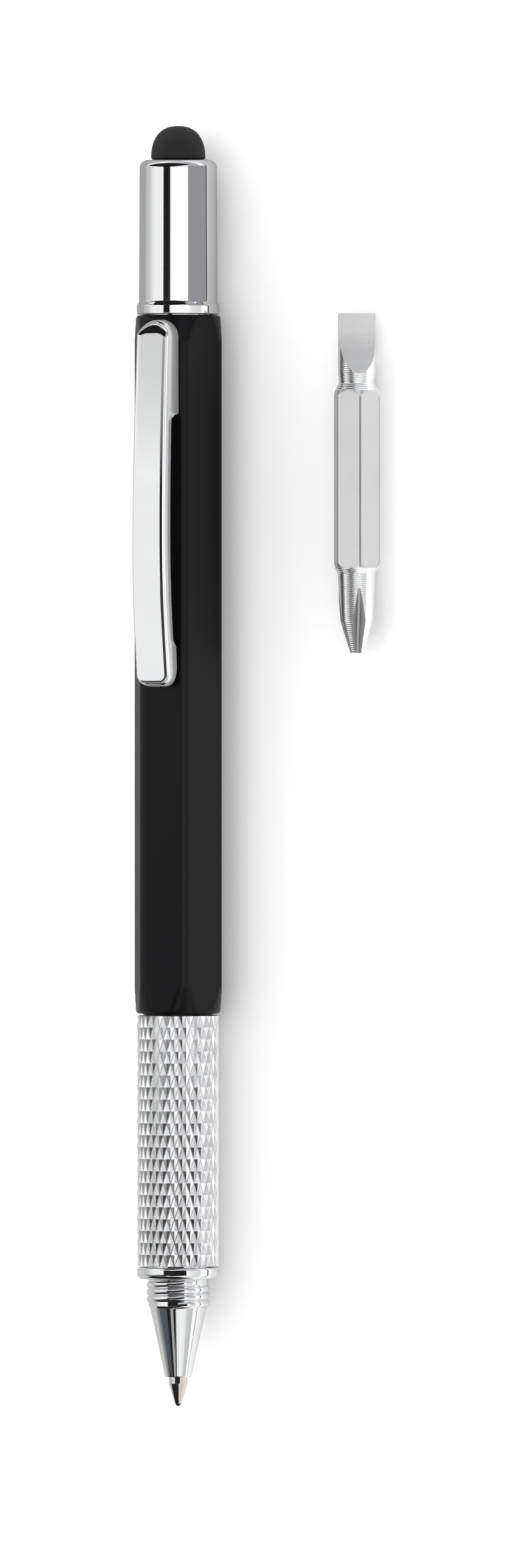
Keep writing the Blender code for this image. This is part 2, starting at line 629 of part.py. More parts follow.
def make_clip(pivot):
    """Pressed channel: rings drawn inwards from the outer wall, over the top and up inside."""
    bm = bmesh.new()

    def ring(inset_at, height_at):
        side = [(x, y, height_at(y, outer)) for x, y, outer in clip_side(inset_at)]
        return ([bm.verts.new(point) for point in side]
                + [bm.verts.new((-x, y, z)) for x, y, z in reversed(side)])

    def deck(edge):
        half = len(edge) // 2
        rungs = [[edge[k], edge[-1 - k]] for k in range(half)]
        stitched(bm, rungs, ring_closed=False)

    def ceiling(y, outer):
        return clip_crown(y) - CLIP_SHEET - (clip_round(outer) - CLIP_EDGE_ROUND) / 2

    rings = [ring(lambda outer: CLIP_SHEET, ceiling),
             ring(lambda outer: CLIP_SHEET, lambda y, outer: clip_hem(y)),
             ring(lambda outer: 0, lambda y, outer: clip_hem(y))]
    for step in range(CLIP_EDGE_STEPS + 1):
        angle = math.pi / 2 * step / CLIP_EDGE_STEPS
        inset_share, drop_share = 1 - math.cos(angle), 1 - math.sin(angle)
        rings.append(ring(
            lambda outer, share=inset_share: share * clip_round(outer),
            lambda y, outer, share=drop_share: clip_crown(y) - share * clip_round(outer)))
    stitched(bm, rings)
    deck(rings[0])
    deck(rings[-1])
    clip = solid("clip", bm, pivot, finish("clip", (0.8, 0.8, 0.81), 0.08, 1.0), -CLIP_PIVOT)

    top = clip_crown(TONGUE_STATION) - CLIP_SHEET / 2
    low, high = TONGUE_STATION - TONGUE_SHEET / 2, TONGUE_STATION + TONGUE_SHEET / 2
    profile = [(low, top), (low, HOOK_LOW), (high + HOOK_REACH, HOOK_LOW), (high + HOOK_REACH, HOOK_TOP),
               (high, HOOK_TOP), (high, top)]
    tongue = extruded("clip_tongue", [(-TONGUE_WIDTH / 2, y, z) for y, z in profile],
                      (TONGUE_WIDTH, 0, 0), pivot)
    tongue.location = -CLIP_PIVOT
    boolean(clip, tongue, "UNION")
    return clip


def make_grip_sleeve(turning):
    """Knurled sleeve: a lattice of four-sided points between two sets of crossing grooves."""
    bm = bmesh.new()
    columns = 2 * KNURL_COLUMNS
    knurl_low = GRIP_BOTTOM + KNURL_END_CHAMFER
    knurl_high = GRIP_TOP - KNURL_END_CHAMFER
    rows = max(2, round((knurl_high - knurl_low) / KNURL_ROW_PITCH))
    root = GRIP_RADIUS - KNURL_DEPTH

    def ring(y, radius_of, sides=columns):
        verts = []
        for column in range(sides):
            angle = 2 * math.pi * column / sides
            radius = radius_of(column)
            verts.append(bm.verts.new((radius * math.sin(angle), y, radius * math.cos(angle))))
        return verts

    def end_face(outer, inner):
        for k, here in enumerate(inner):
            beside = inner[(k + 1) % len(inner)]
            middle = outer[2 * k + 1]
            bm.faces.new([outer[2 * k], middle, here])
            bm.faces.new([middle, beside, here])
            bm.faces.new([middle, outer[(2 * k + 2) % len(outer)], beside])

    knurl = []
    for row in range(rows + 1):
        y = knurl_low + (knurl_high - knurl_low) * row / rows
        knurl.append(ring(y, lambda column, row=row: GRIP_RADIUS if (row + column) % 2 else root))
    stitched(bm, knurl, split=lambda row, column: (row + column) % 2 == 0)

    drive_seat = DRIVE_OUTER_RADIUS + FIT_GAP
    spigot_seat = SPIGOT_DIAMETER / 2 + FIT_GAP
    waist = GRIP_WAIST_BORE / 2
    bore = [
        (drive_seat, GRIP_TOP), (drive_seat, DRIVE_BOTTOM - SEAT_GAP),
        (waist, DRIVE_BOTTOM - SEAT_GAP), (waist, SPIGOT_TOP + SEAT_GAP),
        (spigot_seat, SPIGOT_TOP + SEAT_GAP), (spigot_seat, GRIP_BOTTOM),
    ]
    inner = [ring(y, lambda column, radius=radius: radius, KNURL_COLUMNS) for radius, y in bore]
    stitched(bm, inner)
    for y, rim, mouth in ((GRIP_TOP, knurl[-1], inner[0]), (GRIP_BOTTOM, knurl[0], inner[-1])):
        edge = ring(y, lambda column: root)
        stitched(bm, [rim, edge])
        end_face(edge, mouth)
    return solid("grip_sleeve", bm, turning, finish("grip_sleeve", (0.72, 0.72, 0.73), 0.2, 1.0))


def make_drive_tube(turning):
    """Inner tube of the grip, with two straight slots that turn the carrier's lugs."""
    groove_low = CAM_TOP + SEAT_GAP
    groove_high = groove_low + RETAINER_LENGTH + 2 * SEAT_GAP
    groove = DRIVE_OUTER_RADIUS - RETAINER_SEAT_DEPTH
    tube = turned("drive_tube", [
        (DRIVE_INNER_RADIUS, DRIVE_BOTTOM, 0),
        (DRIVE_OUTER_RADIUS, DRIVE_BOTTOM, 0),
        (DRIVE_OUTER_RADIUS, groove_low, 0),
        (groove, groove_low, 0),
        (groove, groove_high, 0),
        (DRIVE_OUTER_RADIUS, groove_high, 0),
        (DRIVE_OUTER_RADIUS, DRIVE_TOP, 0),
        (DRIVE_INNER_RADIUS, DRIVE_TOP, 0),
    ], turning, finish("drive_tube", (0.75, 0.62, 0.35), 0.3, 1.0), SMALL_ROUND_STEPS)
    half = LUG_DIAMETER / 2 + LUG_GAP
    reach = CAM_OUTER_RADIUS + CUT_OVERRUN
    slots = box("drive_slots", (-reach, LUG_STATION - half, -half),
                (reach, DRIVE_TOP + CUT_OVERRUN, half), turning)
    boolean(tube, slots)
    return tube


def cam_slot(name, start_angle, axis):
    """A bar along a helix, which cuts the slot that lifts one lug through its travel."""
    bm = bmesh.new()
    half_width = LUG_DIAMETER / 2 + LUG_GAP
    twist = math.radians(TWIST_DEGREES)
    lead = REFILL_TRAVEL / twist
    middle = (CAM_INNER_RADIUS + CAM_OUTER_RADIUS) / 2
    slope = math.atan2(lead, middle)
    end_turn = half_width * math.cos(slope) / middle
    inner, outer = CAM_INNER_RADIUS - CUT_OVERRUN, CAM_OUTER_RADIUS + CUT_OVERRUN
    sections = []
    for step in range(CAM_SLOT_STEPS + 1):
        turn = -end_turn + (twist + 2 * end_turn) * step / CAM_SLOT_STEPS
        y = LUG_STATION + lead * turn
        section = []
        for radius, side in ((inner, -1), (outer, -1), (outer, 1), (inner, 1)):
            angle = start_angle + turn - side * half_width * math.sin(slope) / middle
            station = y + side * half_width * math.cos(slope)
            section.append(bm.verts.new((radius * math.sin(angle), station, radius * math.cos(angle))))
        sections.append(section)
    stitched(bm, sections)
    bm.faces.new(sections[0])
    bm.faces.new(sections[-1])
    return solid(name, bm, axis)


def make_cam_tube(axis):
    """Tube fixed in the barrel, with one helical slot for each lug of the carrier."""
    tube = turned("cam_tube", [
        (CAM_INNER_RADIUS, CAM_BOTTOM, 0),
        (CAM_OUTER_RADIUS, CAM_BOTTOM, 0),
        (CAM_OUTER_RADIUS, CAM_TOP, 0),
        (CAM_INNER_RADIUS, CAM_TOP, 0),
    ], axis, finish("cam_tube", (0.8, 0.8, 0.78), 0.45))
    for name, start in (("cam_slot_a", math.pi / 2), ("cam_slot_b", 3 * math.pi / 2)):
        boolean(tube, cam_slot(name, start, axis))
    return tube


def make_friction_washer(axis):
    """Soft washer in the barrel's mouth that gives the twist its drag."""
    inner = DRIVE_OUTER_RADIUS + RUNNING_GAP
    low, high = GRIP_TOP + SEAT_GAP, CAM_BOTTOM - SEAT_GAP
    return turned("friction_washer", [
        (inner, low, 0), (CAM_OUTER_RADIUS, low, 0),
        (CAM_OUTER_RADIUS, high, 0), (inner, high, 0),
    ], axis, finish("friction_washer", (0.05, 0.05, 0.05), 0.7), SMALL_ROUND_STEPS)


def make_retaining_ring(turning):
    """Open spring ring in the drive tube's groove, which keeps the tube in the cam tube."""
    inner = DRIVE_OUTER_RADIUS - RETAINER_SEAT_DEPTH + FIT_GAP
    low = CAM_TOP + 2 * SEAT_GAP
    ring = turned("retaining_ring", [
        (inner, low, 0), (CAM_OUTER_RADIUS, low, 0),
        (CAM_OUTER_RADIUS, low + RETAINER_LENGTH, 0), (inner, low + RETAINER_LENGTH, 0),
    ], turning, finish("retaining_ring", (0.5, 0.5, 0.52), 0.3, 1.0))
    mouth = box("retainer_mouth", (-RETAINER_MOUTH / 2, low - CUT_OVERRUN, 0),
                (RETAINER_MOUTH / 2, low + RETAINER_LENGTH + CUT_OVERRUN,
                 CAM_OUTER_RADIUS + CUT_OVERRUN), turning)
    boolean(ring, mouth)
    return ring


def make_nose_cone(nose):
    """Spigot, collar, exposed thread and cone, bored for the refill."""
    exit_bore = POINT_RADIUS + NOSE_EXIT_GAP
    bore = NOSE_BORE / 2
    exit_top = CONE_END + NOSE_EXIT_LENGTH
    return turned("nose_cone", [
        (bore, SPIGOT_TOP, 0),
        (SPIGOT_DIAMETER / 2 - SPIGOT_CHAMFER, SPIGOT_TOP, 0),
        (SPIGOT_DIAMETER / 2, SPIGOT_TOP - SPIGOT_CHAMFER, 0),
        (SPIGOT_DIAMETER / 2, COLLAR_TOP, 0),
        (COLLAR_RADIUS, COLLAR_TOP, COLLAR_TOP_ROUND),
        (COLLAR_RADIUS, COLLAR_LOW, COLLAR_ROUND),
        (THREAD_ROOT_RADIUS, COLLAR_LOW, 0),
        *thread_ridges(COLLAR_LOW - NOSE_UNDERCUT, -1),
        (THREAD_ROOT_RADIUS, CONE_TOP + NOSE_UNDERCUT / 2, 0),
        (CONE_TOP_DIAMETER / 2, CONE_TOP, 0),
        (CONE_END_DIAMETER / 2, CONE_END, CONE_END_ROUND),
        (exit_bore, CONE_END, 0),
        (exit_bore, exit_top, 0),
        (bore, exit_top + NOSE_BORE_LEAD, 0),
    ], nose, finish("nose_cone", (0.78, 0.78, 0.79), 0.07, 1.0))


def make_refill_tube(refill):
    """Ink tube of the refill."""
    low = POINT_SHOULDER_TOP + SEAT_GAP
    inner = REFILL_RADIUS - REFILL_TUBE_WALL
    return turned("refill_tube", [
        (inner, low, 0), (REFILL_RADIUS, low, 0), (REFILL_RADIUS, REFILL_TOP, 0), (inner, REFILL_TOP, 0),
    ], refill, finish("refill_tube", (0.7, 0.7, 0.7), 0.25, 1.0), SMALL_ROUND_STEPS)


def make_ink_column(refill):
    """The ink that fills the tube's lower part."""
    low = POINT_SHOULDER_TOP + POINT_PLUG_LENGTH + SEAT_GAP
    radius = REFILL_RADIUS - REFILL_TUBE_WALL - FIT_GAP
    high = REFILL_TOP - INK_HEADROOM
    return turned("ink_column", [
        (0, low, 0), (radius, low, 0), (radius, high, 0), (0, high, 0),
    ], refill, finish("ink_column", (0.01, 0.01, 0.05), 0.2), SMALL_ROUND_STEPS // 2)


def make_refill_point(refill):
    """Nickel writing point: plug in the tube, cylinder, taper and the cup for the ball."""
    plug = REFILL_RADIUS - REFILL_TUBE_WALL - FIT_GAP
    ball = BALL_DIAMETER / 2
    rim = POINT_END + BALL_DIAMETER * BALL_EXPOSED_SHARE
    cup = ball + BALL_GAP
    taper_top = CONE_END - POINT_SHOULDER
    return turned("refill_point", [
        (0, POINT_SHOULDER_TOP + POINT_PLUG_LENGTH, 0),
        (plug, POINT_SHOULDER_TOP + POINT_PLUG_LENGTH, 0),
        (plug, POINT_SHOULDER_TOP, 0),
        (POINT_RADIUS, POINT_SHOULDER_TOP, 0),
        (POINT_RADIUS, taper_top, 0),
        (POINT_RIM_DIAMETER / 2, rim, 0),
        (cup, rim, 0),
        (cup, POINT_END + BALL_DIAMETER + BALL_GAP, 0),
        (0, POINT_END + BALL_DIAMETER + BALL_GAP, 0),
    ], refill, finish("refill_point", (0.75, 0.68, 0.6), 0.14, 1.0), SMALL_ROUND_STEPS)


def make_writing_ball(refill):
    """The ball that rolls in the point's cup."""
    radius = BALL_DIAMETER / 2
    corners = []
    for step in range(BALL_STEPS + 1):
        angle = math.pi * step / BALL_STEPS
        across = radius * math.sin(angle) if 0 < step < BALL_STEPS else 0
        corners.append((across, POINT_END + radius - radius * math.cos(angle), 0))
    return turned("writing_ball", corners, refill, finish("writing_ball", (0.1, 0.1, 0.11), 0.15, 1.0),
                  2 * BALL_STEPS)


def make_refill_carrier(refill):
    """Plug that holds the refill's top end, with two lugs that ride in both tubes' slots."""
    low = CARRIER_FLOOR - CARRIER_GRIP_LENGTH
    high = LUG_STATION + CARRIER_HEAD
    bore = REFILL_RADIUS + FIT_GAP
    carrier = turned("refill_carrier", [
        (bore, low, 0),
        (CARRIER_RADIUS, low, 0),
        (CARRIER_RADIUS, high, CARRIER_ROUND),
        (0, high, 0),
        (0, CARRIER_FLOOR, 0),
        (bore, CARRIER_FLOOR, 0),
    ], refill, finish("refill_carrier", (0.75, 0.75, 0.73), 0.4), SMALL_ROUND_STEPS)
    reach = CAM_OUTER_RADIUS - RUNNING_GAP
    circle = [(-reach, LUG_STATION + LUG_DIAMETER / 2 * math.cos(math.pi * k / 8),
               LUG_DIAMETER / 2 * math.sin(math.pi * k / 8)) for k in range(16)]
    lugs = extruded("carrier_lugs", circle, (2 * reach, 0, 0), refill)
    boolean(carrier, lugs, "UNION")
    return carrier


def flare(radius_in, station, direction):
    """Where the bit's sloping shoulder, which meets the corners at a station, reaches a radius."""
    corner = BIT_ACROSS_FLATS / 2 / math.cos(math.pi / 6)
    return station + direction * (corner - radius_in) / BIT_FLARE_SLOPE_SHARE


def make_bit(lift):
    """Two-ended bit: turned along its length, trimmed to a hexagon, then ground and fluted."""
    top, low = BIT_LENGTH / 2, -BIT_LENGTH / 2
    hex_top, hex_low = top - BIT_BLADE_LENGTH, low + BIT_CROSS_LENGTH
    outside = BIT_ACROSS_FLATS / 2 / math.cos(math.pi / 6) + CUT_OVERRUN
    neck = BLADE_NECK_DIAMETER / 2
    shank = CROSS_SHANK_DIAMETER / 2
    bit = turned("screwdriver_bit", [
        (0, low, 0),
        (CROSS_TIP_DIAMETER / 2, low, CROSS_TIP_ROUND),
        (CROSS_NECK_DIAMETER / 2, low + CROSS_CONE_LENGTH, 0),
        (shank, flare(shank, hex_low, -1), 0),
        (outside, flare(outside, hex_low, -1), 0),
        (outside, flare(outside, hex_top, 1), 0),
        (neck, flare(neck, hex_top, 1), 0),
        (BLADE_SHANK_DIAMETER / 2, top - BLADE_GROUND_LENGTH, 0),
        (BLADE_SHANK_DIAMETER / 2, top, BLADE_EDGE_ROUND),
        (0, top, 0),
    ], lift, finish("screwdriver_bit", (0.56, 0.56, 0.57), 0.3, 1.0))
    hexagon_bar = prism("bit_flats", hexagon(BIT_ACROSS_FLATS, BIT_CORNER_ROUND), low - CUT_OVERRUN,
                        top + CUT_OVERRUN, lift)
    boolean(bit, hexagon_bar, "INTERSECT")
    for number, side in enumerate((1, -1), 1):
        boolean(bit, blade_grind("blade_grind_%d" % number, side, top, lift))
    for number in range(FLUTE_COUNT):
        turn = BIT_FACING + 2 * math.pi * number / FLUTE_COUNT
        boolean(bit, cross_flute("cross_flute_%d" % (number + 1), turn, low, lift))
    return bit


def blade_grind(name, side, top, lift):
    """Wedge that grinds one face of the blade, square to a corner of the hexagon."""
    tip = BLADE_TIP_THICKNESS / 2
    root = BLADE_SHANK_DIAMETER / 2
    slope = (root - tip) / BLADE_GROUND_LENGTH
    high, low = top + CUT_OVERRUN, top - BLADE_GROUND_LENGTH - CUT_OVERRUN
    clear = root + CUT_OVERRUN
    profile = [(tip - slope * CUT_OVERRUN, high), (clear, high), (clear, low),
               (root + slope * CUT_OVERRUN, low)]
    outline = []
    normal = Vector((math.cos(BIT_FACING), 0, math.sin(BIT_FACING))) * side
    across = Vector((-normal.z, 0, normal.x))
    half_width = BIT_ACROSS_FLATS
    for out, y in profile:
        outline.append(normal * out + across * -half_width + Vector((0, y, 0)))
    return extruded(name, outline, across * 2 * half_width, lift)


def cross_flute(name, turn, low, lift):
    """Three-sided wedge that cuts one flute, deepest at the tip and running out up the shank."""
    bm = bmesh.new()
    radial = Vector((math.cos(turn), 0, math.sin(turn)))
    across = Vector((-math.sin(turn), 0, math.cos(turn)))
    tip_bottom = CROSS_TIP_DIAMETER / 2 - FLUTE_TIP_DEPTH
    slope = (CROSS_SHANK_DIAMETER / 2 - tip_bottom) / FLUTE_LENGTH
    clear = BIT_ACROSS_FLATS
    rows = []
    for y in (low - CUT_OVERRUN, low + FLUTE_LENGTH + CUT_OVERRUN):
        bottom = tip_bottom + slope * (y - low)
        half_width = (clear - bottom) * math.tan(math.radians(FLUTE_HALF_ANGLE))
        along = Vector((0, y, 0))
        rows.append([bm.verts.new(radial * bottom + along),
                     bm.verts.new(radial * clear + across * half_width + along),
                     bm.verts.new(radial * clear - across * half_width + along)])
    stitched(bm, rows)
    bm.faces.new(rows[0])
    bm.faces.new(rows[1])
    return solid(name, bm, lift)


def build():
    """Make every piece, each group under the empty that it moves with."""
    clear_scene()
    axis = empty("pen_axis", (0, 0, AXIS_HEIGHT))
    cap = empty("cap_travel", parent=axis)
    turning = empty("grip_turning", parent=axis)
    refill = empty("refill_travel", parent=turning)
    nose = empty("nose_travel", parent=turning)
    pivot = empty("clip_pivot", CLIP_PIVOT, axis)
    lift = empty("bit_lift", (BIT_ASIDE, BIT_ALONG, BIT_ACROSS_FLATS / 2))

    make_barrel(axis)
    make_bit_holder(axis)
    make_magnet(axis)
    make_cam_tube(axis)
    make_friction_washer(axis)
    make_clip(pivot)
    make_cap_shell(cap)
    make_cap_liner(cap)
    make_stylus_tip(cap)
    make_stylus_post(cap)
    make_grip_sleeve(turning)
    make_drive_tube(turning)
    make_retaining_ring(turning)
    make_nose_cone(nose)
    make_refill_tube(refill)
    make_ink_column(refill)
    make_refill_point(refill)
    make_writing_ball(refill)
    make_refill_carrier(refill)
    make_bit(lift)


build()
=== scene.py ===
"""Multi tool pen: the looks of each piece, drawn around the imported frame."""
import math
import random

import bmesh
import bpy
from bpy.props import FloatProperty, FloatVectorProperty, IntProperty, PointerProperty
from mathutils import Matrix, Vector


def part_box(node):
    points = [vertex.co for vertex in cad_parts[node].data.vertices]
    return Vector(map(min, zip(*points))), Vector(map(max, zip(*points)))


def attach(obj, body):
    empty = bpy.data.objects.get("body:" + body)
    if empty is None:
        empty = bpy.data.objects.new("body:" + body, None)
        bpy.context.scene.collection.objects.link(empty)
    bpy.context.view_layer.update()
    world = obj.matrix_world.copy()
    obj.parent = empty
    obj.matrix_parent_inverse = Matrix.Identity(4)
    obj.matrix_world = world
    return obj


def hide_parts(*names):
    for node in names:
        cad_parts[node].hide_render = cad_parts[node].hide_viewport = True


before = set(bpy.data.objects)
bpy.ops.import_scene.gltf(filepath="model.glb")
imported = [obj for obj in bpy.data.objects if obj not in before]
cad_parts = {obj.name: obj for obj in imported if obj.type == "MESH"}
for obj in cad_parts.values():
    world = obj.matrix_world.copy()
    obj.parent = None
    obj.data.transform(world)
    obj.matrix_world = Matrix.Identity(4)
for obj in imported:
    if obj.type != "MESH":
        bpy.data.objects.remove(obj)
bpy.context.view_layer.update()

bl_info = {
    "name": "Multi Tool Pen",
    "version": (1, 0, 0),
    "blender": (4, 5, 0),
    "location": "3D View > Sidebar > Pen",
    "description": "Draws a six-sided tool pen with a stylus cap, a clip, a knurled grip and a bit",
    "category": "Add Mesh",
}

MM = 0.001

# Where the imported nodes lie, in metres
BARREL_LOW, BARREL_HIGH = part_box("barrel")
CAP_LOW, CAP_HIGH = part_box("cap_shell")
STUD_LOW, STUD_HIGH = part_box("bit_holder")
STYLUS_LOW, STYLUS_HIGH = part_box("stylus_tip")
CLIP_LOW, CLIP_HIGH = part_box("clip")
GRIP_LOW, GRIP_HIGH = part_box("grip_sleeve")
NOSE_LOW, NOSE_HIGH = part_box("nose_cone")
POINT_LOW, POINT_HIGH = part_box("refill_point")
BALL_LOW, BALL_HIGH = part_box("writing_ball")
MAGNET_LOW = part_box("holder_magnet")[0]
BIT_LOW, BIT_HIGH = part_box("screwdriver_bit")
AXIS_HEIGHT = (BARREL_LOW.z + BARREL_HIGH.z) / 2
BIT_CENTRE = (BIT_LOW + BIT_HIGH) / 2

# How finely the forms are drawn
LATHE_STEPS = 128
ARC_STEPS = 8
CORNER_STEPS = 10
THREAD_STEPS = 48
MERGE_DISTANCE = 0.0001 * MM

# The turn from one side of a hexagon to the next, and from a side's middle to its corner
SIDE_TURN = math.pi / 3
CORNER_TURN = math.pi / 6

# Sizes that more than one form uses
THREAD_ROOT = 3.46 * MM
CLIP_FOOT = 10.8 * MM


class PenSizes(bpy.types.PropertyGroup):
    """Sizes that shape the visible pieces."""

    barrel_corner: FloatProperty(
        name="Barrel Corner", description="Radius of the barrel's six long corners",
        default=1.05 * MM, min=0.1 * MM, unit="LENGTH")
    turned_length: FloatProperty(
        name="Turned Length", description="How far the corners are turned down at each barrel end",
        default=3.35 * MM, min=0.1 * MM, unit="LENGTH")
    cap_shoulder: FloatProperty(
        name="Cap Shoulder", description="Radius of the cap's upper edge",
        default=0.9 * MM, min=0.05 * MM, unit="LENGTH")
    stylus_bluntness: FloatProperty(
        name="Stylus Bluntness", description="2 is a plain half ball, and more is blunter",
        default=2.4, min=1.5, max=4.0)
    knurl_columns: IntProperty(
        name="Knurl Columns", description="Points round the grip in one row",
        default=32, min=12, max=64)
    knurl_depth: FloatProperty(
        name="Knurl Depth", description="Height of the grip's points",
        default=0.18 * MM, min=0.05 * MM, unit="LENGTH")
    knurl_row: FloatProperty(
        name="Knurl Row", description="Distance between two rows of points",
        default=1.415 * MM, min=0.3 * MM, unit="LENGTH")
    thread_pitch: FloatProperty(
        name="Thread Pitch", description="Pitch of the cap's and the nose's thread",
        default=0.84 * MM, min=0.2 * MM, unit="LENGTH")
    clip_sheet: FloatProperty(
        name="Clip Sheet", description="Thickness of the clip's metal",
        default=0.34 * MM, min=0.1 * MM, unit="LENGTH")
    bit_corner: FloatProperty(
        name="Bit Corner", description="Radius of the bit's six long corners",
        default=0.12 * MM, min=0.02 * MM, unit="LENGTH")


class PenColours(bpy.types.PropertyGroup):
    """Colours of the finishes."""

    lacquer: FloatVectorProperty(
        name="Lacquer", description="Barrel's satin lacquer", subtype="COLOR", size=3,
        min=0, max=1, default=(0.0020, 0.0021, 0.0030))
    chrome: FloatVectorProperty(
        name="Chrome", description="Cap, clip, grip and nose", subtype="COLOR", size=3,
        min=0, max=1, default=(0.80, 0.804, 0.812))
    nickel: FloatVectorProperty(
        name="Nickel", description="Writing point", subtype="COLOR", size=3,
        min=0, max=1, default=(0.68, 0.64, 0.61))
    rubber: FloatVectorProperty(
        name="Rubber", description="Stylus tip", subtype="COLOR", size=3,
        min=0, max=1, default=(0.005, 0.005, 0.006))
    steel: FloatVectorProperty(
        name="Bit Steel", description="Screwdriver bit", subtype="COLOR", size=3,
        min=0, max=1, default=(0.88, 0.885, 0.88))
    brass: FloatVectorProperty(
        name="Brass", description="Drive tube and stylus post", subtype="COLOR", size=3,
        min=0, max=1, default=(0.72, 0.53, 0.25))
    plastic: FloatVectorProperty(
        name="Plastic", description="Cam tube and carrier", subtype="COLOR", size=3,
        min=0, max=1, default=(0.74, 0.74, 0.72))


def edges_among(verts):
    """Edges that have both ends among some vertices, in the vertices' own order."""
    chosen = set(verts)
    found = dict.fromkeys(edge for vert in verts for edge in vert.link_edges)
    return [edge for edge in found if edge.verts[0] in chosen and edge.verts[1] in chosen]


def verts_of(geometry):
    """The vertices in an operator's result."""
    return [item for item in geometry if isinstance(item, bmesh.types.BMVert)]


def lay(verts, y, reach):
    """Place vertices at a station along the pen, each at its own angle's radius."""
    for vert in verts:
        angle = math.atan2(vert.co.x, vert.co.z)
        radius = reach(angle)
        vert.co = (radius * math.sin(angle), y, radius * math.cos(angle))


def carry(bm, ring, y, reach):
    """Extrude a ring of edges to the next station and return the new ring."""
    fresh = verts_of(bmesh.ops.extrude_edge_only(bm, edges=ring)["geom"])
    lay(fresh, y, reach)
    return edges_among(fresh)


def close_ring(bm, ring):
    """Fill a ring of edges with one face."""
    bmesh.ops.edgeloop_fill(bm, edges=ring)


def round_ring(bm, sides):
    """Start a ring of edges about the axis."""
    turned = Matrix.Rotation(math.pi / 2, 4, "X")
    made = bmesh.ops.create_circle(bm, segments=sides, radius=1, matrix=turned)
    return edges_among(made["verts"])


def hexagon_ring(bm, across_flats, corner, flat_cuts):
    """Start a ring of edges round a hexagon that has a flat above and below."""
    turned = Matrix.Rotation(math.pi / 2, 4, "X") @ Matrix.Rotation(CORNER_TURN, 4, "Z")
    reach = across_flats / 2 / math.cos(CORNER_TURN)
    made = bmesh.ops.create_circle(bm, segments=6, radius=reach, matrix=turned)
    corner_is_up = max(vert.co.z for vert in made["verts"]) > across_flats / 2 * 1.01
    if corner_is_up:
        bmesh.ops.rotate(bm, verts=made["verts"], matrix=Matrix.Rotation(CORNER_TURN, 3, "Y"))
    bmesh.ops.bevel(bm, geom=made["verts"], offset=corner * math.tan(CORNER_TURN),
                    offset_type="OFFSET", segments=CORNER_STEPS, profile=0.5, affect="VERTICES",
                    material=-1)
    long_edges = [edge for edge in bm.edges if edge.calc_length() > across_flats / 4]
    bmesh.ops.subdivide_edges(bm, edges=long_edges, cuts=flat_cuts)
    return bm.edges[:]


def hexagon_reach(across_flats, corner):
    """A function from angle to radius for a hexagon with rounded corners and a flat above."""
    half = across_flats / 2
    flat_end = math.atan((half - corner) * math.tan(CORNER_TURN) / half)
    corner_centre = (half - corner) / math.cos(CORNER_TURN)

    def reach(angle):
        off_flat = abs((angle + CORNER_TURN) % (2 * CORNER_TURN) - CORNER_TURN)
        if off_flat <= flat_end:
            return half / math.cos(off_flat)
        off_corner = CORNER_TURN - off_flat
        return (corner_centre * math.cos(off_corner)
                + math.sqrt(max(0, corner ** 2 - (corner_centre * math.sin(off_corner)) ** 2)))

    return reach


def lathe(corners, closed=True):
    """Round the corners of a (radius, y, rounding) outline, then spin it about the axis."""
    bm = bmesh.new()
    verts = [bm.verts.new((0, y, radius)) for radius, y, _ in corners]
    for first, second in zip(verts, verts[1:]):
        bm.edges.new((first, second))
    if closed:
        bm.edges.new((verts[-1], verts[0]))
    count = len(corners)
    for index, (radius, y, rounding) in enumerate(corners):
        if not rounding:
            continue
        here = Vector((radius, y))
        before = Vector(corners[index - 1][:2]) - here
        after = Vector(corners[(index + 1) % count][:2]) - here
        tangent = rounding / math.tan(before.angle(after) / 2)
        tangent = min(tangent, 0.49 * before.length, 0.49 * after.length)
        bmesh.ops.bevel(bm, geom=[verts[index]], offset=tangent, offset_type="OFFSET",
                        segments=ARC_STEPS, profile=0.5, affect="VERTICES", material=-1)

    # A short edge at both ends of each long one keeps its shading straight
    hold = 0.04 * MM
    for edge in [edge for edge in bm.edges if edge.calc_length() > 8 * hold]:
        bmesh.utils.edge_split(edge, edge.verts[0], hold / edge.calc_length())
    for edge in [edge for edge in bm.edges if edge.calc_length() > 6 * hold]:
        long_end = max(edge.verts, key=lambda vert: min(
            (other.calc_length() for other in vert.link_edges if other != edge), default=0))
        bmesh.utils.edge_split(edge, long_end, hold / edge.calc_length())
    bmesh.ops.spin(bm, geom=bm.verts[:] + bm.edges[:], cent=(0, 0, 0), axis=(0, 1, 0),
                   angle=2 * math.pi, steps=LATHE_STEPS, use_merge=True)
    return bm


def eased(share):
    """A smooth step from 0 to 1."""
    share = min(1, max(0, share))
    return share * share * (3 - 2 * share)


def in_order(elements, place):
    """Number a mesh's vertices or faces by where they lie, because operators vary in theirs."""
    for number, element in enumerate(sorted(elements, key=place)):
        element.index = number
    elements.sort()


def as_object(bm, name, materials):
    """Turn a bmesh into an object of the scene."""
    mesh = bpy.data.meshes.new(name)
    bm.to_mesh(mesh)
    bm.free()
    for material in materials:
        mesh.materials.append(material)
    made = bpy.data.objects.new(name, mesh)
    bpy.context.scene.collection.objects.link(made)
    return made


def finished(bm, name, body, node, materials, lift=True, sharp=32):
    """Turn a bmesh into a piece that rides on a body and stands for a node."""
    bmesh.ops.remove_doubles(bm, verts=bm.verts, dist=MERGE_DISTANCE)
    in_order(bm.verts, lambda vert: tuple(vert.co))
    in_order(bm.faces, lambda face: tuple(face.calc_center_median()))
    bmesh.ops.recalc_face_normals(bm, faces=bm.faces)
    if lift:
        bmesh.ops.translate(bm, verts=bm.verts, vec=(0, 0, AXIS_HEIGHT))
    piece = as_object(bm, name, materials)
    piece.data.shade_smooth()
    piece.data.set_sharp_from_angle(angle=math.radians(sharp))
    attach(piece, body)
    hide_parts(node)
    return piece


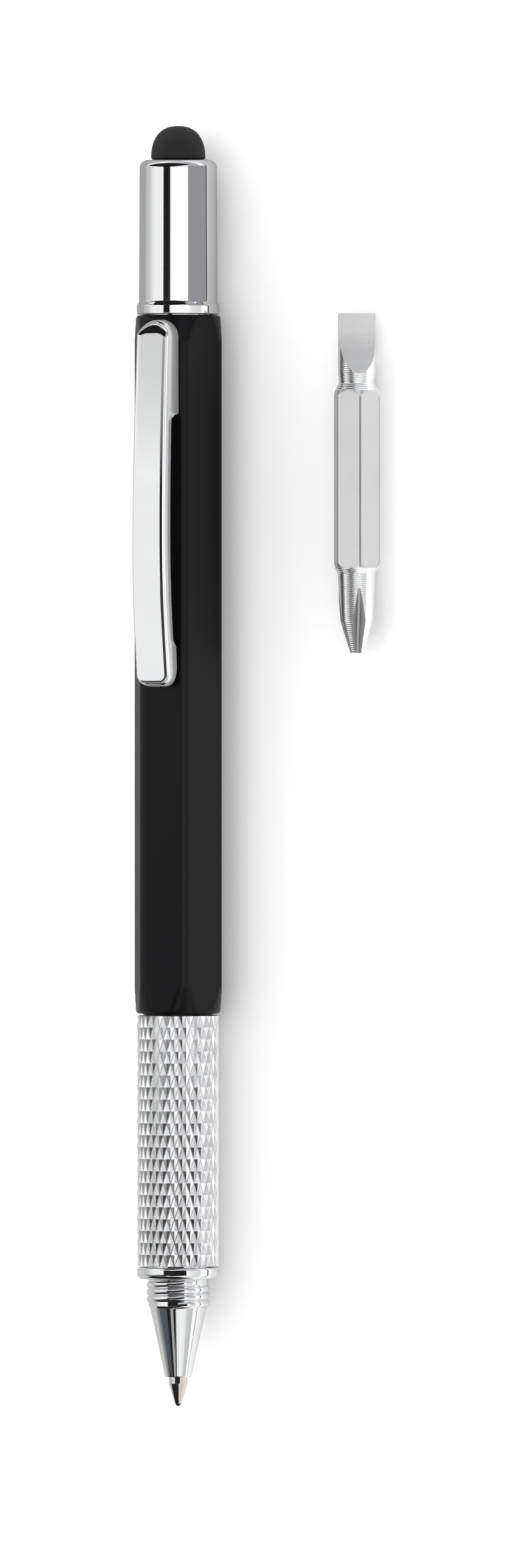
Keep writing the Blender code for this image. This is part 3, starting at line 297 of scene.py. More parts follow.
def cut(piece, tool):
    """Cut a piece with a tool that is then thrown away, and keep the result as its mesh."""
    change = piece.modifiers.new("cut", "BOOLEAN")
    change.operation = "DIFFERENCE"
    change.solver = "EXACT"
    change.object = tool
    bpy.context.view_layer.update()
    whole = piece.evaluated_get(bpy.context.evaluated_depsgraph_get())
    mesh = bpy.data.meshes.new_from_object(whole)
    piece.modifiers.clear()
    piece.data = mesh
    bpy.data.objects.remove(tool)


def helix(bm, outline, start, pitch, turns, run_out):
    """Carry a closed (radius, y) outline along a right-hand helix, sinking at both of its ends."""
    verts = [bm.verts.new((0, start + y, radius)) for radius, y in outline]
    edges = [bm.edges.new((verts[i - 1], verts[i])) for i in range(len(verts))]
    base = min(radius for radius, _ in outline)
    steps = round(turns * THREAD_STEPS)
    step_turn = Matrix.Rotation(2 * math.pi / THREAD_STEPS, 3, "Y")

    def rise(step):
        return max(0.02, eased(min(step, steps - step) / (run_out * THREAD_STEPS)))

    def stretch(points, share):
        for vert in points:
            radius = math.hypot(vert.co.x, vert.co.z)
            wanted = base + (radius - base) * share
            vert.co.x *= wanted / radius
            vert.co.z *= wanted / radius

    stretch(verts, rise(0))
    close_ring(bm, edges)
    for step in range(1, steps + 1):
        verts = verts_of(bmesh.ops.extrude_edge_only(bm, edges=edges)["geom"])
        edges = edges_among(verts)
        bmesh.ops.rotate(bm, verts=verts, matrix=step_turn)
        bmesh.ops.translate(bm, verts=verts, vec=(0, pitch / THREAD_STEPS, 0))
        stretch(verts, rise(step) / rise(step - 1))
    close_ring(bm, edges)


# Finishes

def shader_group(name, inputs, outputs):
    """An empty shader node group with named inputs and outputs."""
    tree = bpy.data.node_groups.new(name, "ShaderNodeTree")
    for label, kind, value in inputs:
        socket = tree.interface.new_socket(name=label, in_out="INPUT", socket_type=kind)
        socket.default_value = value
    for label, kind in outputs:
        tree.interface.new_socket(name=label, in_out="OUTPUT", socket_type=kind)
    return tree, tree.nodes.new("NodeGroupInput"), tree.nodes.new("NodeGroupOutput")


def math_node(tree, operation, *values):
    """A Math node whose inputs are sockets or numbers."""
    node = tree.nodes.new("ShaderNodeMath")
    node.operation = operation
    for index, value in enumerate(values):
        if isinstance(value, (int, float)):
            node.inputs[index].default_value = value
        else:
            tree.links.new(value, node.inputs[index])
    return node.outputs[0]


def axes(tree, coordinates="Object"):
    """The X, Y and Z of a place on the object, or of a direction in the world."""
    place = tree.nodes.new("ShaderNodeTexCoord")
    split = tree.nodes.new("ShaderNodeSeparateXYZ")
    tree.links.new(place.outputs[coordinates], split.inputs[0])
    return split.outputs


def object_noise(tree, scale, detail=3.0):
    """Noise on object coordinates."""
    place = tree.nodes.new("ShaderNodeTexCoord").outputs["Object"]
    noise = tree.nodes.new("ShaderNodeTexNoise")
    noise.inputs["Detail"].default_value = detail
    if isinstance(scale, (int, float)):
        noise.inputs["Scale"].default_value = scale
    else:
        tree.links.new(scale, noise.inputs["Scale"])
    tree.links.new(place, noise.inputs["Vector"])
    return noise.outputs["Fac"]


def grain_group():
    """Fine grain and handling smudges: a colour, a roughness and a height that vary a little."""
    tree, given, out = shader_group(
        "grain and smudges",
        [("Colour", "NodeSocketColor", (0.5, 0.5, 0.5, 1)),
         ("Colour Spread", "NodeSocketFloat", 0.1),
         ("Roughness", "NodeSocketFloat", 0.3),
         ("Roughness Spread", "NodeSocketFloat", 0.1),
         ("Grain Scale", "NodeSocketFloat", 9000.0)],
        [("Colour", "NodeSocketColor"), ("Roughness", "NodeSocketFloat"),
         ("Height", "NodeSocketFloat")])
    grain = object_noise(tree, given.outputs["Grain Scale"], 4.0)
    smudge = object_noise(tree, 260.0)
    both = math_node(tree, "ADD", math_node(tree, "MULTIPLY", grain, 0.5),
                     math_node(tree, "MULTIPLY", smudge, 0.5))
    centred = math_node(tree, "SUBTRACT", both, 0.5)
    lightness = math_node(tree, "ADD", 1.0,
                          math_node(tree, "MULTIPLY", centred, given.outputs["Colour Spread"]))
    tint = tree.nodes.new("ShaderNodeVectorMath")
    tint.operation = "SCALE"
    tree.links.new(given.outputs["Colour"], tint.inputs[0])
    tree.links.new(lightness, tint.inputs["Scale"])
    rough = math_node(tree, "ADD", given.outputs["Roughness"],
                      math_node(tree, "MULTIPLY", centred, given.outputs["Roughness Spread"]))
    tree.links.new(tint.outputs["Vector"], out.inputs["Colour"])
    tree.links.new(rough, out.inputs["Roughness"])
    tree.links.new(grain, out.inputs["Height"])
    return tree


def turning_group():
    """Turning marks: fine rings along the pen that break up round it."""
    tree, given, out = shader_group(
        "turning marks",
        [("Rings per Metre", "NodeSocketFloat", 4000.0), ("Break Up", "NodeSocketFloat", 0.5)],
        [("Height", "NodeSocketFloat")])
    wobble = object_noise(tree, 900.0)
    along = math_node(tree, "MULTIPLY", axes(tree)["Y"], given.outputs["Rings per Metre"])
    shifted = math_node(tree, "ADD", along,
                        math_node(tree, "MULTIPLY", wobble, given.outputs["Break Up"]))
    wave = math_node(tree, "SINE", math_node(tree, "MULTIPLY", shifted, 2 * math.pi))
    height = math_node(tree, "ADD", 0.5, math_node(tree, "MULTIPLY", wave, 0.5))
    tree.links.new(height, out.inputs["Height"])
    return tree


def shared(name, maker):
    """A node group that is built once."""
    return bpy.data.node_groups.get(name) or maker()


def finish(name, colour, roughness, metallic=0.0, colour_spread=0.1, rough_spread=0.1,
           grain_scale=9000.0, bump=0.0, rings=0.0, ring_bump=0.0, crown=0.0, specular=0.5):
    """A material of grain and smudges over a base colour.

    It has turning marks if asked. A crown leans a wall's shading upwards, as on a wall that is
    slightly rounded.
    """
    found = bpy.data.materials.get(name)
    if found:
        return found
    material = bpy.data.materials.new(name)
    material.use_nodes = True
    tree = material.node_tree
    shader = tree.nodes["Principled BSDF"]
    shader.inputs["Metallic"].default_value = metallic
    shader.inputs["Specular IOR Level"].default_value = specular
    grain = tree.nodes.new("ShaderNodeGroup")
    grain.node_tree = shared("grain and smudges", grain_group)
    grain.inputs["Colour"].default_value = (*colour, 1)
    grain.inputs["Colour Spread"].default_value = colour_spread
    grain.inputs["Roughness"].default_value = roughness
    grain.inputs["Roughness Spread"].default_value = rough_spread
    grain.inputs["Grain Scale"].default_value = grain_scale
    tree.links.new(grain.outputs["Colour"], shader.inputs["Base Color"])
    tree.links.new(grain.outputs["Roughness"], shader.inputs["Roughness"])
    reliefs = [(bump, grain.outputs["Height"])]
    if ring_bump:
        marks = tree.nodes.new("ShaderNodeGroup")
        marks.node_tree = shared("turning marks", turning_group)
        marks.inputs["Rings per Metre"].default_value = rings
        reliefs.append((ring_bump, marks.outputs["Height"]))
    if crown:
        reliefs.append((crown, math_node(tree, "MULTIPLY", axes(tree)["Z"], -1.0)))
    normal = None
    for strength, height in reliefs:
        relief = tree.nodes.new("ShaderNodeBump")
        relief.inputs["Strength"].default_value = 1.0
        relief.inputs["Distance"].default_value = strength
        tree.links.new(height, relief.inputs["Height"])
        if normal:
            tree.links.new(normal, relief.inputs["Normal"])
        normal = relief.outputs["Normal"]
    if normal:
        tree.links.new(normal, shader.inputs["Normal"])
    material.diffuse_color = (*colour, 1)
    return material


def scaled(colour, factor):
    """A colour made lighter or darker."""
    return tuple(factor * channel for channel in colour)


def finishes(context):
    """Every finish of the pen, by a maker's name."""
    colours = context.scene.pen_colours
    satin_steel = {"metallic": 0.9, "colour_spread": 0.16, "rough_spread": 0.14,
                   "grain_scale": 6000.0, "bump": 0.004 * MM}
    return {
        "lacquer": finish("satin lacquer", colours.lacquer, 0.30, colour_spread=0.3,
                          rough_spread=0.08, grain_scale=7000.0, bump=0.002 * MM, specular=0.19),
        "chrome": finish("bright chrome", colours.chrome, 0.045, 1.0, colour_spread=0.03,
                         rough_spread=0.05, grain_scale=3000.0, bump=0.0004 * MM),
        # The clip's walls: the chrome painted lighter, duller and less metallic, so that they look
        # lit (painted light)
        "flank": finish("clip flank chrome painted lighter", scaled(colours.chrome, 1.12), 0.24, 0.6,
                        colour_spread=0.05, rough_spread=0.08, grain_scale=3000.0,
                        bump=0.0004 * MM, crown=0.25),
        # The grip: its points in chrome painted lighter (painted light), the sleeve between them in
        # chrome painted darker (painted shade in the grooves)
        "knurl": finish("knurled chrome painted lighter", scaled(colours.chrome, 1.12), 0.17, 1.0,
                        colour_spread=0.25, rough_spread=0.22, bump=0.006 * MM),
        "groove": finish("knurl groove in painted shade", scaled(colours.chrome, 0.7), 0.30, 1.0,
                         colour_spread=0.9, rough_spread=0.3, bump=0.03 * MM),
        "nickel": finish("point nickel", colours.nickel, 0.09, 1.0, colour_spread=0.08,
                         rough_spread=0.08, bump=0.001 * MM, rings=9000.0, ring_bump=0.0008 * MM),
        "rubber": finish("stylus rubber", colours.rubber, 0.62, colour_spread=0.5,
                         rough_spread=0.15, bump=0.008 * MM),
        "steel": finish("bit steel", colours.steel, 0.42, **satin_steel),
        # Every second flat of the bit: the steel painted darker, as painted shade
        "drawn": finish("drawn steel", scaled(colours.steel, 0.68), 0.42, **satin_steel),
        "ground": finish("ground steel", scaled(colours.steel, 0.75), 0.46, 0.9,
                         colour_spread=0.5, rough_spread=0.2, grain_scale=8000.0,
                         bump=0.008 * MM),
        # Painted shade: the steel painted dark, for the flutes of the cross point and a thin line
        # along each corner of the hexagon
        "dark steel": finish("dark steel", scaled(colours.steel, 0.38), 0.34, 1.0,
                             colour_spread=0.4, rough_spread=0.2, grain_scale=7000.0,
                             bump=0.006 * MM),
        "ball": finish("carbide ball", (0.12, 0.12, 0.13), 0.14, 1.0, bump=0.0005 * MM),
        "turned": finish("turned steel", colours.steel, 0.16, 0.95, colour_spread=0.2,
                         rough_spread=0.2, grain_scale=6000.0, bump=0.004 * MM, rings=4500.0,
                         ring_bump=0.03 * MM),
        "inner steel": finish("inner steel", (0.5, 0.5, 0.52), 0.28, 1.0, bump=0.001 * MM,
                              rings=6000.0, ring_bump=0.001 * MM),
        "brass": finish("plain brass", colours.brass, 0.26, 1.0, colour_spread=0.15,
                        bump=0.001 * MM, rings=5000.0, ring_bump=0.001 * MM),
        # The drive tube: its brass painted dark, as painted shade in the gap between barrel and
        # grip
        "brass in painted shade": finish("brass in painted shade", scaled(colours.brass, 0.2), 0.45, 1.0,
                             colour_spread=0.3, bump=0.001 * MM),
        "plastic": finish("moulded plastic", colours.plastic, 0.42, colour_spread=0.06,
                          grain_scale=5000.0, bump=0.003 * MM),
        "dark plastic": finish("dark plastic", (0.02, 0.02, 0.021), 0.45, colour_spread=0.2,
                               grain_scale=5000.0, bump=0.003 * MM),
        "soft washer": finish("washer rubber", (0.03, 0.03, 0.03), 0.7, colour_spread=0.3,
                              grain_scale=7000.0, bump=0.006 * MM),
        "ink": finish("ink", (0.004, 0.005, 0.03), 0.12, bump=0.001 * MM),
    }


class PEN_OT_barrel(bpy.types.Operator):
    """Draw the six-sided barrel, turned down at both ends."""

    bl_idname = "tool_pen.barrel"
    bl_label = "Barrel"

    def execute(self, context):
        sizes = context.scene.pen_sizes
        across_flats = BARREL_HIGH.z - BARREL_LOW.z
        low, high = BARREL_LOW.y, BARREL_HIGH.y
        flats = hexagon_reach(across_flats, sizes.barrel_corner)
        bore, rim, lip, end_margin = 3.95 * MM, 0.35 * MM, 0.15 * MM, 0.08 * MM
        end = across_flats / 2 + end_margin
        slope = (flats(CORNER_TURN) - end) / sizes.turned_length
        rim_steps, cone_steps, flat_cuts = 6, 14, 9

        def limit(along):
            radius = end + slope * along
            if along < rim:
                radius -= rim - math.sqrt(rim ** 2 - (rim - along) ** 2)
            return radius

        zone = [rim * (1 - math.cos(math.pi / 2 * step / rim_steps))
                for step in range(rim_steps + 1)]
        zone += [rim + (sizes.turned_length - rim) * step / cone_steps
                 for step in range(1, cone_steps + 2)]
        zone += [zone[-1] + 0.1 * MM]
        bm = bmesh.new()
        ring = hexagon_ring(bm, across_flats, sizes.barrel_corner, flat_cuts)
        first = {vert for edge in ring for vert in edge.verts}
        lay(first, low, lambda angle: min(flats(angle), limit(0)))
        start = ring
        for along in zone[1:]:
            ring = carry(bm, ring, low + along, lambda angle: min(flats(angle), limit(along)))
        for along in reversed(zone):
            ring = carry(bm, ring, high - along, lambda angle: min(flats(angle), limit(along)))
        for y, radius in ((high, bore), (low - lip, bore), (low - lip, bore + lip),
                          (low, bore + lip)):
            ring = carry(bm, ring, y, lambda angle: radius)
        bmesh.ops.bridge_loops(bm, edges=ring + start)
        finished(bm, "lacquered_barrel", "barrel", "barrel",
                 [finishes(context)["lacquer"]], sharp=50)
        return {"FINISHED"}


class PEN_OT_cap(bpy.types.Operator):
    """Draw the chrome cap with its flanged mouth."""

    bl_idname = "tool_pen.cap"
    bl_label = "Cap"

    def execute(self, context):
        sizes = context.scene.pen_sizes
        low, high = CAP_LOW.y, CAP_HIGH.y
        flange = (CAP_HIGH.x - CAP_LOW.x) / 2
        flange_length, neck_start = 1.05 * MM, 1.47 * MM
        neck, top = 4.6 * MM, 4.53 * MM
        bore, hole, lid = 4.13 * MM, 2.0 * MM, 0.8 * MM
        broken_edge = 0.05 * MM
        bm = lathe([
            (bore, low, broken_edge),
            (flange, low, 0.16 * MM),
            (flange, low + flange_length, 0.22 * MM),
            (neck, low + neck_start, 0.3 * MM),
            (top, high, sizes.cap_shoulder),
            (hole, high, broken_edge),
            (hole, high - lid, 0),
            (bore, high - lid, 0.1 * MM),
        ])
        finished(bm, "chrome_cap", "cap", "cap_shell",
                 [finishes(context)["chrome"]], sharp=40)
        return {"FINISHED"}


class PEN_OT_stylus(bpy.types.Operator):
    """Draw the rubber stylus tip."""

    bl_idname = "tool_pen.stylus"
    bl_label = "Stylus Tip"

    def execute(self, context):
        sizes = context.scene.pen_sizes
        base = CAP_HIGH.y + 0.1 * MM
        radius = (STYLUS_HIGH.x - STYLUS_LOW.x) / 2
        height = STYLUS_HIGH.y - base
        power = 2 / sizes.stylus_bluntness
        steps, chamfer, chamfer_height, straight = 40, 0.12 * MM, 0.14 * MM, 0.2 * MM
        outline = [(0, base, 0), (radius - chamfer, base, 0), (radius, base + chamfer_height, 0)]
        for step in range(1, steps):
            angle = math.pi / 2 * step / steps
            up = height * math.sin(angle) ** power
            if up > straight:
                outline.append((radius * math.cos(angle) ** power, base + up, 0))
        outline.append((0, base + height, 0))
        bm = lathe(outline, closed=False)
        finished(bm, "stylus_dome", "cap", "stylus_tip",
                 [finishes(context)["rubber"]], sharp=60)
        return {"FINISHED"}


class PEN_OT_bit_holder(bpy.types.Operator):
    """Draw the threaded stud with the bit's hexagon socket."""

    bl_idname = "tool_pen.bit_holder"
    bl_label = "Bit Holder"

    def execute(self, context):
        sizes = context.scene.pen_sizes
        low, high = STUD_LOW.y, STUD_HIGH.y
        seat = BARREL_HIGH.y - 0.2 * MM
        spigot, root, crest = 3.85 * MM, THREAD_ROOT, 3.68 * MM
        low_chamfer, high_chamfer, mouth_chamfer = 0.3 * MM, 0.35 * MM, 0.15 * MM
        thread_start, thread_turns, thread_run_out = 1.7 * MM, 3.2, 0.25
        socket_low = MAGNET_LOW.y - 0.1 * MM
        socket = hexagon_reach(5.2 * MM, sizes.bit_corner)
        bm = bmesh.new()
        ring = round_ring(bm, 144)
        start = {vert for edge in ring for vert in edge.verts}
        lay(start, low, lambda angle: spigot - low_chamfer)
        close_ring(bm, ring)
        for y, radius in ((low + low_chamfer, spigot), (seat, spigot), (seat, root),
                          (high - high_chamfer, root), (high, root - high_chamfer)):
            ring = carry(bm, ring, y, lambda angle: radius)
        ring = carry(bm, ring, high, lambda angle: socket(angle) + mouth_chamfer)
        ring = carry(bm, ring, high - mouth_chamfer, socket)
        ring = carry(bm, ring, socket_low, socket)
        close_ring(bm, ring)
        half = ((root - 0.1 * MM, 0.33 * MM), (root + 0.02 * MM, 0.28 * MM),
                (crest - 0.02 * MM, 0.07 * MM))
        outline = [(radius, -along) for radius, along in half] + [(crest, 0), *reversed(half)]
        helix(bm, outline, seat + thread_start, sizes.thread_pitch, thread_turns, thread_run_out)
        finished(bm, "threaded_stud", "barrel", "bit_holder",
                 [finishes(context)["chrome"]], sharp=35)
        return {"FINISHED"}


def clip_crown(y):
    """Height of the clip's top face: a bow that is highest below its middle."""
    crown_share, fall_to_foot, fall_to_tip = 0.387, 1.31 * MM, 1.56 * MM
    crown_at = CLIP_LOW.y + (CLIP_HIGH.y - CLIP_LOW.y) * crown_share
    if y > crown_at:
        fall, share = fall_to_foot, (y - crown_at) / (CLIP_HIGH.y - crown_at)
    else:
        fall, share = fall_to_tip, (crown_at - y) / (crown_at - CLIP_LOW.y)
    return CLIP_HIGH.z - fall * (1 - math.cos(math.pi / 2 * min(1, share)))


def clip_roll(inset, rounding, gentle):
    """How far the clip's top lies below its crown, by the distance in from its wall.

    The edge turns down on a gentle radius first and then on its rounding.
    """
    gentle_turn = math.radians(9.5)
    turned_in = rounding * (1 - math.sin(gentle_turn))
    if inset < turned_in:
        rise = math.cos(math.asin(1 - inset / rounding))
        return gentle * (1 - math.cos(gentle_turn)) + rounding * (math.cos(gentle_turn) - rise)
    across = max(0, turned_in + gentle * math.sin(gentle_turn) - inset) / gentle
    return gentle * (1 - math.cos(math.asin(across)))


def clip_hem(y):
    """Height of the clip's lower edge: down on the barrel at the foot and at the nub."""
    seat = BARREL_HIGH.z + 0.15 * MM
    arm_height, foot_run_out = 1.65 * MM, 0.5 * MM
    nub_start, nub_length, nub_share = 0.4 * MM, 5.0 * MM, 0.45
    arm = clip_crown(y) - arm_height
    foot = eased((y - CLIP_HIGH.y + CLIP_FOOT + foot_run_out) / foot_run_out)
    along = (y - CLIP_LOW.y - nub_start) / nub_length
    nub = nub_share * eased(along / 0.35) * eased((1 - along) / 0.2)
    return arm + (seat - arm) * max(foot, nub)


class PEN_OT_clip(bpy.types.Operator):
    """Draw the clip: a bowed channel pressed from sheet."""

    bl_idname = "tool_pen.clip"
    bl_label = "Clip"

    def execute(self, context):
        sizes = context.scene.pen_sizes
        places = self.places()
        count = len(places)
        side_round, top_round, low_round, lean = 0.28 * MM, 1.4 * MM, 0.5 * MM, 0.12 * MM
        crown_radius, radius_loss = 2.3, 1.5
        edge_shares = (0, 0.02, 0.07, 0.14, 0.23, 0.34, 0.48, 0.64, 0.852)
        widths = (0.32, 0.4, 0.5, 0.56, 0.68, 0.8, 0.92, 1.04, 1.15)
        insets = [side_round * share for share in edge_shares] + [width * MM for width in widths]
        rings = len(insets)
        bm = bmesh.new()
        bmesh.ops.create_grid(bm, x_segments=rings, y_segments=count, size=1)
        innermost = {}
        for vert in bm.verts:
            ring = round((vert.co.x + 1) / 2 * rings)
            number = round((vert.co.y + 1) / 2 * count) % count
            anchor_x, anchor_y, across, along, reach = places[number]
            inset = insets[ring - 1] if ring else -lean
            x = anchor_x + across * (reach - inset)
            y = anchor_y + along * (reach - inset)
            rounding = side_round + eased(abs(along)) * (
                (top_round if along > 0 else low_round) - side_round)
            gentle = (crown_radius - radius_loss * eased(-along)) * MM
            z = clip_crown(y) - clip_roll(inset, rounding, gentle) if ring else clip_hem(y)
            vert.co = (x, y, z)
            if ring == rings:
                innermost[number] = vert
        bmesh.ops.remove_doubles(bm, verts=bm.verts, dist=MERGE_DISTANCE)
        inner = [vert for vert in innermost.values() if vert.is_valid]
        close_ring(bm, [edge for edge in edges_among(inner) if edge.is_boundary])
        for number in range(1, count // 2):
            pair = [innermost[number], innermost[count - number]]
            if all(vert.is_valid for vert in pair):
                bmesh.ops.connect_verts(bm, verts=pair)
        finishing = finishes(context)
        clip = finished(bm, "spring_clip", "clip", "clip",
                        [finishing["chrome"], finishing["flank"]], lift=False, sharp=70)
        if max(clip.data.polygons, key=lambda face: face.center.z).normal.z < 0:
            clip.data.flip_normals()
        # The walls take the copy of the chrome painted lighter: painted light
        for face in clip.data.polygons:
            if abs(face.normal.z) < 0.3:
                face.material_index = 1
        wall = clip.modifiers.new("sheet", "SOLIDIFY")
        wall.thickness = sizes.clip_sheet
        wall.offset = -1
        wall.use_even_offset = True
        return {"FINISHED"}

    def places(self):
        """Points round the clip's outline: an anchor, an outward direction and a reach."""
        low, high = CLIP_LOW.y, CLIP_HIGH.y
        root_half, end_half, corner = 1.95 * MM, 2.09 * MM, 1.2 * MM
        end_steps, corner_steps, root_steps = 5, 10, 24
        right = []
        for step in range(end_steps):
            right.append(((end_half - corner) * step / end_steps, low + corner, 0, -1, corner))
        for step in range(corner_steps + 1):
            turn = math.pi / 2 * step / corner_steps
            right.append((end_half - corner, low + corner, math.sin(turn), -math.cos(turn),
                          corner))
        nub_high, step_at = low + 6 * MM, high - CLIP_FOOT - 0.25 * MM
        first, last = low + corner, high - root_half
        y = first
        while True:
            dense = y < nub_high or abs(y - step_at) < 0.5 * MM
            y += (0.1 if dense else 0.5) * MM
            if y > last - 0.05 * MM:
                break
            share = (y - first) / (last - first)
            right.append((0, y, 1, 0, end_half + (root_half - end_half) * share))
        for step in range(root_steps + 1):
            turn = math.pi / 2 * step / root_steps
            right.append((0, last, math.cos(turn), math.sin(turn), root_half))
        left = [(-x, y, -across, along, reach)
                for x, y, across, along, reach in reversed(right[1:-1])]
        return right + left


class PEN_OT_grip(bpy.types.Operator):
    """Draw the knurled grip sleeve."""

    bl_idname = "tool_pen.grip"
    bl_label = "Grip Sleeve"

    def execute(self, context):
        sizes = context.scene.pen_sizes
        low, high = GRIP_LOW.y, GRIP_HIGH.y
        crest = (GRIP_HIGH.z - GRIP_LOW.z) / 2
        root = crest - sizes.knurl_depth
        half_width = math.pi / sizes.knurl_columns
        rows = round((high - low) / sizes.knurl_row)
        row = (high - low) / rows
        spread, sunk, end_margin, wear = 0.94, 0.05, 0.06 * MM, 0.02
        draws = random.Random(11)

        # One four-sided point, flat at first: x is an angle, y a station and z a height
        bm = bmesh.new()
        made = bmesh.ops.create_cone(bm, cap_ends=True, cap_tris=False, segments=4, radius1=1,
                                     radius2=0, depth=1)
        unit = bm.verts[:] + bm.edges[:] + bm.faces[:]
        for vert in made["verts"]:
            x, y, z = vert.co
            vert.co = (spread * x, spread * y, 1 if z > 0 else -sunk)
        for index in range(rows + 1):
            copy = bmesh.ops.duplicate(bm, geom=unit)["geom"]
            bmesh.ops.translate(bm, verts=verts_of(copy), vec=(index % 2, index, 0))
        bmesh.ops.delete(bm, geom=verts_of(unit), context="VERTS")
        for vert in bm.verts:
            angle = vert.co.x * half_width
            radius = root + sizes.knurl_depth * vert.co.z
            if vert.co.z > 0:
                radius -= draws.uniform(0, wear) * MM
            station = min(high - end_margin, max(low + end_margin, low + vert.co.y * row))
            vert.co = (radius * math.sin(angle), station, radius * math.cos(angle))
        bmesh.ops.dissolve_degenerate(bm, edges=bm.edges, dist=0.005 * MM)
        bmesh.ops.spin(bm, geom=bm.verts[:] + bm.edges[:] + bm.faces[:], cent=(0, 0, 0),
                       axis=(0, 1, 0), angle=2 * math.pi, steps=sizes.knurl_columns,
                       use_duplicate=True)

        # The sleeve under the points, with its two bores and its waist
        seat_depth, waist, low_bore, high_bore = 9.5 * MM, 2.4 * MM, 3.6 * MM, 3.3 * MM
        mouth_edge, outer_edge = 0.05 * MM, 0.12 * MM
        tube = lathe([
            (low_bore, low, mouth_edge),
            (root, low, outer_edge),
            (root, high, outer_edge),
            (high_bore, high, mouth_edge),
            (high_bore, high - seat_depth, 0),
            (waist, high - seat_depth, 0),
            (waist, low + seat_depth, 0),
            (low_bore, low + seat_depth, 0),
        ])
        # The sleeve between the points is painted darker: painted shade in the grooves
        for face in tube.faces:
            face.material_index = 1
        mesh = bpy.data.meshes.new("sleeve")
        tube.to_mesh(mesh)
        tube.free()
        bm.from_mesh(mesh)
        bpy.data.meshes.remove(mesh)
        finishing = finishes(context)
        finished(bm, "knurled_sleeve", "grip", "grip_sleeve",
                 [finishing["knurl"], finishing["groove"]], sharp=12)
        return {"FINISHED"}


class PEN_OT_nose(bpy.types.Operator):
    """Draw the nose: spigot, collar, thread and cone."""

    bl_idname = "tool_pen.nose"
    bl_label = "Nose"

    def execute(self, context):
        sizes = context.scene.pen_sizes
        low, high = NOSE_LOW.y, NOSE_HIGH.y
        collar_high = GRIP_LOW.y - 0.1 * MM
        collar_low = collar_high - 1.4 * MM
        cone_high = collar_low - 3.35 * MM
        root, spigot, collar = THREAD_ROOT, 3.5 * MM, 4.8 * MM
        bore, exit_bore = 1.6 * MM, 1.245 * MM
        cone_base, cone_tip, chamfer, exit_length = 3.3 * MM, 1.53 * MM, 0.3 * MM, 3.5 * MM
        thread_start, thread_turns, thread_run_out = 0.3 * MM, 3.25, 0.15
        bm = lathe([
            (bore, high, 0),
            (spigot - chamfer, high, 0),
            (spigot, high - chamfer, 0),
            (spigot, collar_high, 0),
            (collar, collar_high, 0.3 * MM),
            (collar, collar_low, 0.6 * MM),
            (root, collar_low, 0.1 * MM),
            (root, cone_high + 0.2 * MM, 0.08 * MM),
            (cone_base, cone_high, 0.1 * MM),
            (cone_tip, low, 0.16 * MM),
            (exit_bore, low, 0.04 * MM),
            (exit_bore, low + exit_length, 0),
            (bore, low + exit_length + 0.4 * MM, 0),
        ])
        half = ((-0.1, 0.42), (0.02, 0.38), (0.11, 0.31), (0.18, 0.23), (0.22, 0.12))
        outline = [(root + out * MM, -along * MM) for out, along in half]
        outline += [(root + out * MM, along * MM) for out, along in reversed(half)]
        helix(bm, outline, cone_high + thread_start, sizes.thread_pitch, thread_turns,
              thread_run_out)
        finished(bm, "chrome_nose", "nose", "nose_cone",
                 [finishes(context)["chrome"]], sharp=40)
        return {"FINISHED"}


class PEN_OT_point(bpy.types.Operator):
    """Draw the refill's writing point and its ball."""

    bl_idname = "tool_pen.point"
    bl_label = "Writing Point"

    def execute(self, context):
        low, high = POINT_LOW.y, POINT_HIGH.y
        radius = (POINT_HIGH.x - POINT_LOW.x) / 2
        plug, plug_length = 0.75 * MM, 3.0 * MM
        ball = (BALL_HIGH.x - BALL_LOW.x) / 2
        taper_top = NOSE_LOW.y - 0.75 * MM
        bm = lathe([
            (0, high, 0),
            (plug, high, 0.05 * MM),
            (plug, high - plug_length, 0),
            (radius, high - plug_length, 0.05 * MM),
            (radius, taper_top, 0.12 * MM),
            (0.5 * MM, low + 0.35 * MM, 0.2 * MM),
            (ball + 0.03 * MM, low, 0.03 * MM),
            (0, low, 0),
        ], closed=False)
        finishing = finishes(context)
        finished(bm, "nickel_point", "refill", "refill_point", [finishing["nickel"]],
                 sharp=40)
        bm = bmesh.new()
        bmesh.ops.create_uvsphere(bm, u_segments=32, v_segments=16, radius=ball)
        bmesh.ops.translate(bm, verts=bm.verts, vec=(0, (BALL_LOW.y + BALL_HIGH.y) / 2, 0))
        finished(bm, "rolling_ball", "refill", "writing_ball",
                 [finishing["ball"]], sharp=60)
        return {"FINISHED"}


def bit_radius(along, length):
    """Radius that limits the bit's hexagon, by distance from its blade end."""
    blade_neck, blade_shank = 2.05 * MM, 2.185 * MM
    cross_neck, cross_shank, cone = 1.98 * MM, 2.2 * MM, 3.75 * MM
    corner, slope, blade_chamfer, tip_chamfer = 2.887 * MM, 0.54, 0.08 * MM, 0.12 * MM
    hexagon_top, hexagon_low = 9.7 * MM, length - 10.6 * MM
    if along < hexagon_top:
        reach = corner - (hexagon_top - along) * slope
        share = max(0, along - 7.1 * MM) / (1.2 * MM)
        neck = blade_shank + (blade_neck - blade_shank) * min(1, share)
        return max(neck, reach) - max(0, blade_chamfer - along) * 0.7
    if along < hexagon_low:
        return corner
    from_tip = length - along
    if from_tip > cone:
        reach = corner - (along - hexagon_low) * slope
        shank = cross_neck + (cross_shank - cross_neck) * min(1, (from_tip - cone) / (5.6 * MM))
        return max(shank, reach)
    tip = 0.8 * MM
    return tip + (cross_neck - tip) * from_tip / cone - max(0, tip_chamfer - from_tip)


def bit_tool(bm, rows, material):
    """Add a closed tool to a mesh, from rows of four corners each."""
    rings = []
    for row in rows:
        verts = [bm.verts.new(point) for point in row]
        rings.append([bm.edges.new((verts[i - 1], verts[i])) for i in range(4)])
    before = set(bm.faces)
    for first, second in zip(rings, rings[1:]):
        bmesh.ops.bridge_loops(bm, edges=first + second)
    close_ring(bm, rings[0])
    close_ring(bm, rings[-1])
    for face in set(bm.faces) - before:
        face.material_index = material


